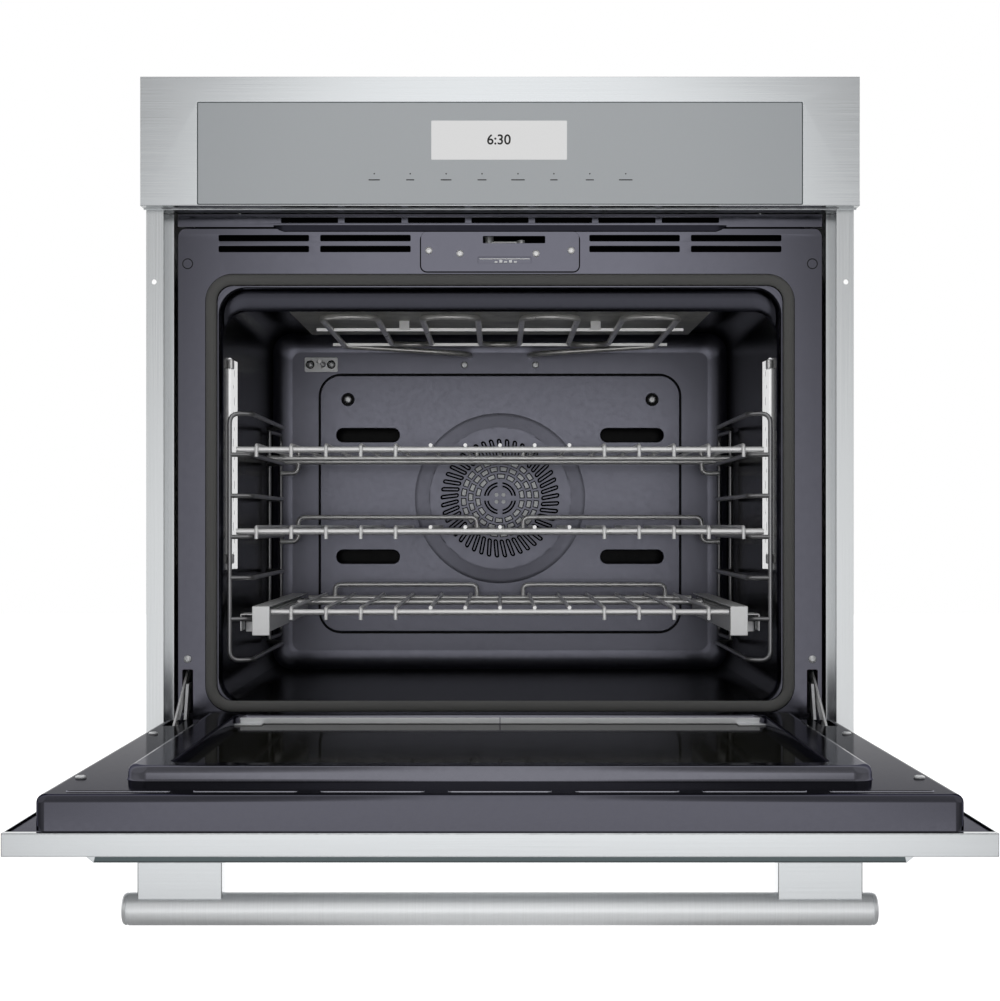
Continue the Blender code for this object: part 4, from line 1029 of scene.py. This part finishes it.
def make_slides():
    """Telescopic slides of the lowest rack."""
    for side, tag in TAGGED_SIDES:
        Piece("slide_inner_" + tag).side_blocks(
            side,
            (249.6, 253.6, (41, 440), (153, 174), 0.8),
            (249.6, 268.6, (38.8, 41.4), (149, 180.8), 0.9),
            (249.6, 268.6, (39.6, 430), (179.6, 180.8), 0.4),
        ).done(SLIDE_STEEL, "chrome", ["rack_slide_inner_" + tag], body="lower_rack")
        Piece("slide_middle_" + tag).side_blocks(
            side,
            (254.4, 264.6, (44, 430), (151.4, 152.6), 0.4),
            (254.4, 264.6, (44, 430), (174.4, 175.6), 0.4),
            (254.4, 255.6, (44, 430), (151.4, 175.6), 0.4),
        ).done(SLIDE_STEEL, "chrome", ["rack_slide_middle_" + tag], body="slide_" + tag)
        Piece("slide_outer_" + tag).side_blocks(
            side,
            (258.5, 266.6, (46, 440), (149.0, 150.2), 0.4),
            (258.5, 266.6, (46, 440), (176.8, 178.0), 0.4),
            (265.4, 266.6, (46, 440), (149, 178), 0.4),
            (265.8, 281, (80, 106), (151, 162.4), 0.8),
            (265.8, 281, (340, 366), (151, 162.4), 0.8),
            (266, 282, (44, 74), (171.2, 172.4), 0.4),
            (280.8, 282, (44, 74), (154, 172.4), 0.4),
        ).done(SLIDE_STEEL, "chrome", ["rack_slide_outer_" + tag])


# ---- door

def make_door_pan():
    """Steel skin of the door, with the turned edge that faces the front while it is open."""
    low, high = DOOR_LOW, DOOR_HIGH
    pan = Piece("door_skin")
    window = rectangle(-250, 250, -443, -113, 3, 3)
    face = rectangle(low.x, high.x, low.y, high.y)
    pan.plate(face, [window], low.z + 1.2, 1.2, "XY", 0.5)
    pan.block((low.x, low.y, low.z), (high.x, low.y + 1.2, high.z), 0.45)
    for side in SIDES:
        pan.side_block(side, high.x - 1.2, high.x, (low.y, high.y), (low.z, high.z), 0.4)
    pan.block((low.x, low.y, high.z - 1.2), (high.x, -560, high.z), 0.3)
    pan.done(STEEL_X, "stainless", ["door_front_panel"], body="door")
    brim = Piece("door_brim")
    for side in SIDES:
        brim.side_block(side, 350, high.x - 1.6, (low.y + 1.6, -14), (high.z - 2.6, high.z - 1.6), 0.3)
    brim.done(ENAMEL_SIDE_SHADED, "enamel", body="door")


def make_door_liner():
    """Enamelled inner door: a tray with a raised plug round the window."""
    low, high = DOOR_LINER_LOW, DOOR_LINER_HIGH
    top = 64.0
    liner = Piece("door_tray")
    wall = rectangle(low.x, high.x, low.y, high.y, 8, 6)
    round_three_sides = [(-343, high.y)] + wall[14:] + wall[:14] + [(343, high.y)]
    for run in (round_three_sides, [(-330, high.y), (330, high.y)]):
        liner.loft([lying(run, z) for z in (low.z, top - 6)], closed=False)
    outlines = [shrunk(low, high, inset, 8 - inset * 0.6, 6) for inset, drop in ROUNDED_EDGE]
    liner.loft([lying(outline, top - drop) for outline, (inset, drop) in zip(outlines, ROUNDED_EDGE)])
    holes = [shrunk(*PLUG, 0.0, PLUG_CORNER, 8)]
    vents = [98 * index for index in range(-3, 4)]
    vent_y = -541
    holes += [slot(x, vent_y, 40, 4, 3.0) for x in vents]
    holes += [rectangle(*span(side, 329, 345), -78, -21) for side in SIDES]
    liner.plate(outlines[-1], holes, top, 1.2, "XY", 0.04)
    liner.done(ENAMEL_TRAY, "enamel", ["door_liner"], body="door")

    plug = Piece("door_plug")
    crown = high.z
    sides = ((-1.6, top - 0.3), (-0.6, top + 0.4), (0, top + 1.6), (0.2, crown - 6),
             (0.6, crown - 3.7), (1.8, crown - 1.75), (3.7, crown - 0.45), (6, crown))
    loops = [lying(shrunk(*PLUG, inset, PLUG_CORNER - inset * 0.5, 10), z) for inset, z in sides]
    plug.loft(loops)
    outer = shrunk(*PLUG, 6.0, PLUG_CORNER - 3.0, 10)
    plug.plate(outer, [shrunk(*WINDOW, 0.0, 12, 6)], crown, 1.2, "XY", 0.04)
    rim = ((0.0, crown), (1.4, crown - 0.5), (2.2, crown - 1.6), (2.6, GLASS_TOP))
    plug.loft([lying(shrunk(*WINDOW, inset, 12, 6), z) for inset, z in rim])
    plug.done(ENAMEL_PLUG, "enamel", body="door")
    # Thin pale beads on the near edges of the vent slots: a painted highlight.
    highlight_beads = Piece("door_vent_highlights")
    for x in vents:
        highlight_path = ((x - 40, vent_y), (x - 39, vent_y - 4.4), (x + 39, vent_y - 4.4), (x + 40, vent_y))
        highlight_beads.tube(bent(lying(highlight_path, top), 2), 0.7, 8)
    highlight_beads.done(ENAMEL_HIGHLIGHT, "enamel", body="door")
    dark = Piece("door_vent_shadow")
    dark.block((-345, -550, 60.6), (345, -520, 61.4), 0.2)
    dark.done(SHADE_BLACK, "black_paint", body="door")
    spots = [(side * 340, y, top) for side in SIDES for y in (-466.5, -151)]
    screws("door_screws", spots, 4.6, 2.2, axis="Z", facing=1, body="door")


def make_door_glass():
    for name, node, radius in (("glass_inner", "door_inner_glass", 1.0),
                               ("glass_middle", "door_middle_glass", 0.6),
                               ("glass_outer", "door_outer_glass", 0.6)):
        low, high = node_box(node)
        pane = Piece(name)
        pane.plate(rectangle(low.x, high.x, low.y, high.y, 18, 6), (), high.z, high.z - low.z, "XY", radius)
        look = WINDOW_GLASS if name == "glass_inner" else BLACK_GLASS
        pane.done(look, "door_glass", [node], body="door")
    clips = Piece("glass_retainers")
    for side in SIDES:
        clips.side_block(side, 0.4, 266, (-87.5, -84), (GLASS_TOP + 0.3, 73.4), 0.5)
        clips.side_block(side, 240, 268, (-104, -86), (GLASS_TOP, GLASS_TOP + 1.4), 0.5)
    clips.done(CHROME_SATIN, "galvanised", body="door")


def make_bezel():
    low, high = node_box("door_bezel")
    bezel = Piece("door_bezel_sheet")
    window = rectangle(-262, 262, -453, -103, 4, 3)
    inner, outer = 313.5, 322.5
    bezel.plate(rectangle(-inner, inner, low.y, high.y), [window], low.z + 1.4, 1.4, "XY", 0.4)
    bezel.loft([lying(window, z) for z in (low.z + 0.3, high.z)])
    bezel.done(STEEL_X, "stainless", ["door_bezel"], body="door")
    # Dark steel on the bezel's edges: painted shade.
    edge = Piece("bezel_edge")
    for y in (low.y, high.y - 1.4):
        edge.block((-inner, y, low.z + 0.2), (inner, y + 1.4, high.z), 0.3)
    edge.done(STEEL_SHADED, "stainless", body="door")
    ends = Piece("bezel_ends")
    for side in SIDES:
        near, far = side * (inner - 0.4), side * outer
        section = ((near, low.z - 0.1), (near - side * 2, high.z), (far, high.z), (far, high.z - 1.2))
        ends.loft([standing(section, y) for y in (low.y - 0.2, high.y)], caps=(True, True))
    ends.done(STEEL_X, "stainless", body="door")


def make_handle():
    low, high = node_box("handle_bar")
    centre = (0, (low.y + high.y) / 2, (low.z + high.z) / 2)
    radius = (high.z - low.z) / 2
    end = high.x
    half = [(end, radius * 0.5), (end, radius - 2.6), (end - 0.7, radius - 1.2), (end - 2.2, radius - 0.3),
            (end - 3.6, radius), (end - 3.9, radius - 0.8), (end - 4.5, radius - 0.8),
            (end - 4.8, radius), (end - 60, radius), (60, radius)]
    profile = half + [(-x, r) for x, r in half[::-1]]
    bar = Piece("handle_rod")
    bar.turned(profile, centre, "X", 64)
    bar.done(STEEL_ROUND, "stainless", ["handle_bar"], body="door")
    for tag in ("left", "right"):
        low, high = node_box("handle_post_" + tag)
        post = Piece("handle_foot_" + tag)
        post.block((low.x, low.y, low.z), high, 1.0, 3)
        post.done(STEEL_X, "stainless", ["handle_post_" + tag], body="door")


# ---- casing, and the CAD nodes that stay

def make_casing_details():
    """Screws along the seams, and stiffening frames pressed into the sheets."""
    side_face, top_face, rear_face = (node_box(name)[1] for name in
                                      ("side_panel_right", "top_cover", "rear_cover"))
    seams = Piece("casing_screws")
    heights = (30, 250, 470, 690)
    for side in SIDES:
        for z in heights:
            for y in (50, 300, 556):
                screw(seams, (side * side_face.x, y, z), 4.2, 2.0, "X", side)
            screw(seams, (side * 338, rear_face.y, z), 4.2, 2.0, "Y", 1)
        for y in (40, 300, 560):
            screw(seams, (side * 330, y, top_face.z), 4.2, 2.0, "Z", 1)
    for x in (-169, 0, 169):
        for z in (heights[0], heights[-1]):
            screw(seams, (x, rear_face.y, z), 4.2, 2.0, "Y", 1)
    seams.done(CHROME_SATIN, "galvanised")
    frames = Piece("casing_frames")
    rise, width = 0.9, 14.0

    def frame_plate(low_a, high_a, low_b, high_b, at, plane):
        outer = rectangle(low_a, high_a, low_b, high_b, 26, 8)
        inner = shrunk((low_a, low_b), (high_a, high_b), width, 18, 8)
        frames.plate(outer, [inner], at, rise, plane, 0.42)

    for side in SIDES:
        at = side * side_face.x + (rise if side > 0 else 0)
        for low_z, high_z in ((56, 350), (374, 668)):
            frame_plate(84, 522, low_z, high_z, at, "YZ")
    frame_plate(-300, 300, 60, 350, top_face.z + rise, "XY")
    frame_plate(-310, 310, 60, 580, rear_face.y, "XZ")
    frames.done(ZINC, "galvanised")
    outer = rectangle(196, 306, 604, 662, 3, 4)
    thin_sheet("rating_plate", outer, (), rear_face.y, 0.5, 0.1, CHROME_SATIN, "galvanised")


def finish_cad_nodes():
    """Materials of the CAD nodes that stay as they are."""
    looks = {
        ZINC: ("base_pan", "side_panel_left", "side_panel_right", "top_cover", "rear_cover",
               "hinge_body_left", "hinge_body_right", "hinge_channel_left", "hinge_channel_right",
               "fan_motor", "blower_housing", "blower_wheel", "blower_motor"),
        STEEL_Z: ("mounting_flange_left", "mounting_flange_right"),
        CHROME: ("hinge_link_left", "hinge_link_right"),
        ELEMENT: ("convection_element", "bake_element"),
        PLASTIC: ("cable_gland", "control_housing", "control_board"),
        BLACK_PAINT: ("bottom_trim", "latch_motor"),
        # painted shade: the fan darkened behind the grille
        FAN_SHADED: ("convection_fan",),
        WOOL: ("insulation",),
    }
    for look, names in looks.items():
        for name in names:
            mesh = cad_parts[name].data
            mesh.materials.clear()
            mesh.materials.append(look)


# ---- floor, light and camera

def make_floor():
    """A pale floor: it glows behind the oven, and in front far off and near the middle."""
    floor = Piece("studio_floor")
    floor_z = -900
    floor.plate(rectangle(-14000, 14000, -7000, 22000), (), floor_z, 10, "XY", 0.5)
    material = new_material("pale_floor", (0.9, 0.9, 0.9), 0.9, 0.0, Emission_Color=WHITE,
                            Specular_IOR_Level=0.0)
    axes = axes_of(material)
    ahead = math_node(material, "ABSOLUTE", axes["Y"])
    outward = math_node(material, "ABSOLUTE", axes["X"])
    slant = math_node(material, "DIVIDE", outward, math_node(material, "MAXIMUM", ahead, 0.5))
    behind = fade(material, axes["Y"], 0.2, 1.8)
    keep = math_node(material, "SUBTRACT", 1.0, behind)
    sides = fade(material, slant, 0.28, 0.46, 1.0, 0.25)
    front = math_node(material, "MULTIPLY", sides, fade(material, ahead, 2.5, 6.5, 0.02, 0.66))
    glow = math_node(material, "ADD", math_node(material, "MULTIPLY", front, keep),
                     math_node(material, "MULTIPLY", behind, 0.62))
    link(material, glow, "Emission Strength")
    pale = math_node(material, "MAXIMUM", sides, behind)
    vary_color(material, pale, (0.3, 0.3, 0.3), (0.9, 0.9, 0.9), (0.25, 1.0))
    studio_floor = floor.to_object([material])


def make_light():
    """A white studio: pale behind the oven, and in front a soft bright field that fades sideways."""
    world = bpy.data.worlds.new("studio")
    bpy.context.scene.world = world
    world.use_nodes = True
    axes = axes_of(world, "Generated")
    rise = math_node(world, "MAXIMUM", axes["Z"], 0.0)
    narrowing = math_node(world, "ADD", 0.8, math_node(world, "MULTIPLY", rise, 3.0))
    sideways = math_node(world, "MULTIPLY", math_node(world, "ABSOLUTE", axes["X"]), narrowing)
    ramp = add_node(world, "ShaderNodeValToRGB", {"Fac": sideways})
    stops = ((0.0, 1.0), (0.145, 1.0), (0.2, 0.66), (0.25, 0.4), (0.45, 0.28), (0.8, 0.32), (1.0, 0.42))
    elements = ramp.color_ramp.elements
    while len(elements) < len(stops):
        elements.new(0.5)
    for element, (position, value) in zip(elements, stops):
        element.position = position
        element.color = (value, value, value, 1.0)
    front = math_node(world, "MULTIPLY", ramp.outputs["Color"], 1.36)
    behind = fade(world, axes["Y"], 0.1, 0.5)
    keep = math_node(world, "SUBTRACT", 1.0, behind)
    total = math_node(world, "ADD", math_node(world, "MULTIPLY", front, keep), behind)
    background = world.node_tree.nodes["Background"]
    background.inputs["Color"].default_value = WHITE
    world.node_tree.links.new(total, background.inputs["Strength"])


def make_camera():
    camera = bpy.data.cameras.new("camera")
    camera.sensor_width = 36.0
    camera.lens = 66.77
    camera.shift_y = 0.0235
    camera.clip_end = 100.0
    view = add_object("camera", camera)
    view.location = (0.0, -1.972, 0.270)
    view.rotation_euler = (math.radians(90), 0.0, 0.0)
    bpy.context.scene.camera = view
    bpy.context.scene.view_settings.view_transform = "Standard"


for make in (make_panel_frame, make_panel_glass, make_screen, make_vents, make_front_frame,
             make_latch, make_gasket, make_cavity, make_baffle, make_probe, make_lamps, make_broil,
             make_side_racks, make_racks, make_slides, make_door_pan, make_door_liner,
             make_door_glass, make_bezel, make_handle, make_casing_details, finish_cad_nodes,
             make_floor, make_light, make_camera):
    make()
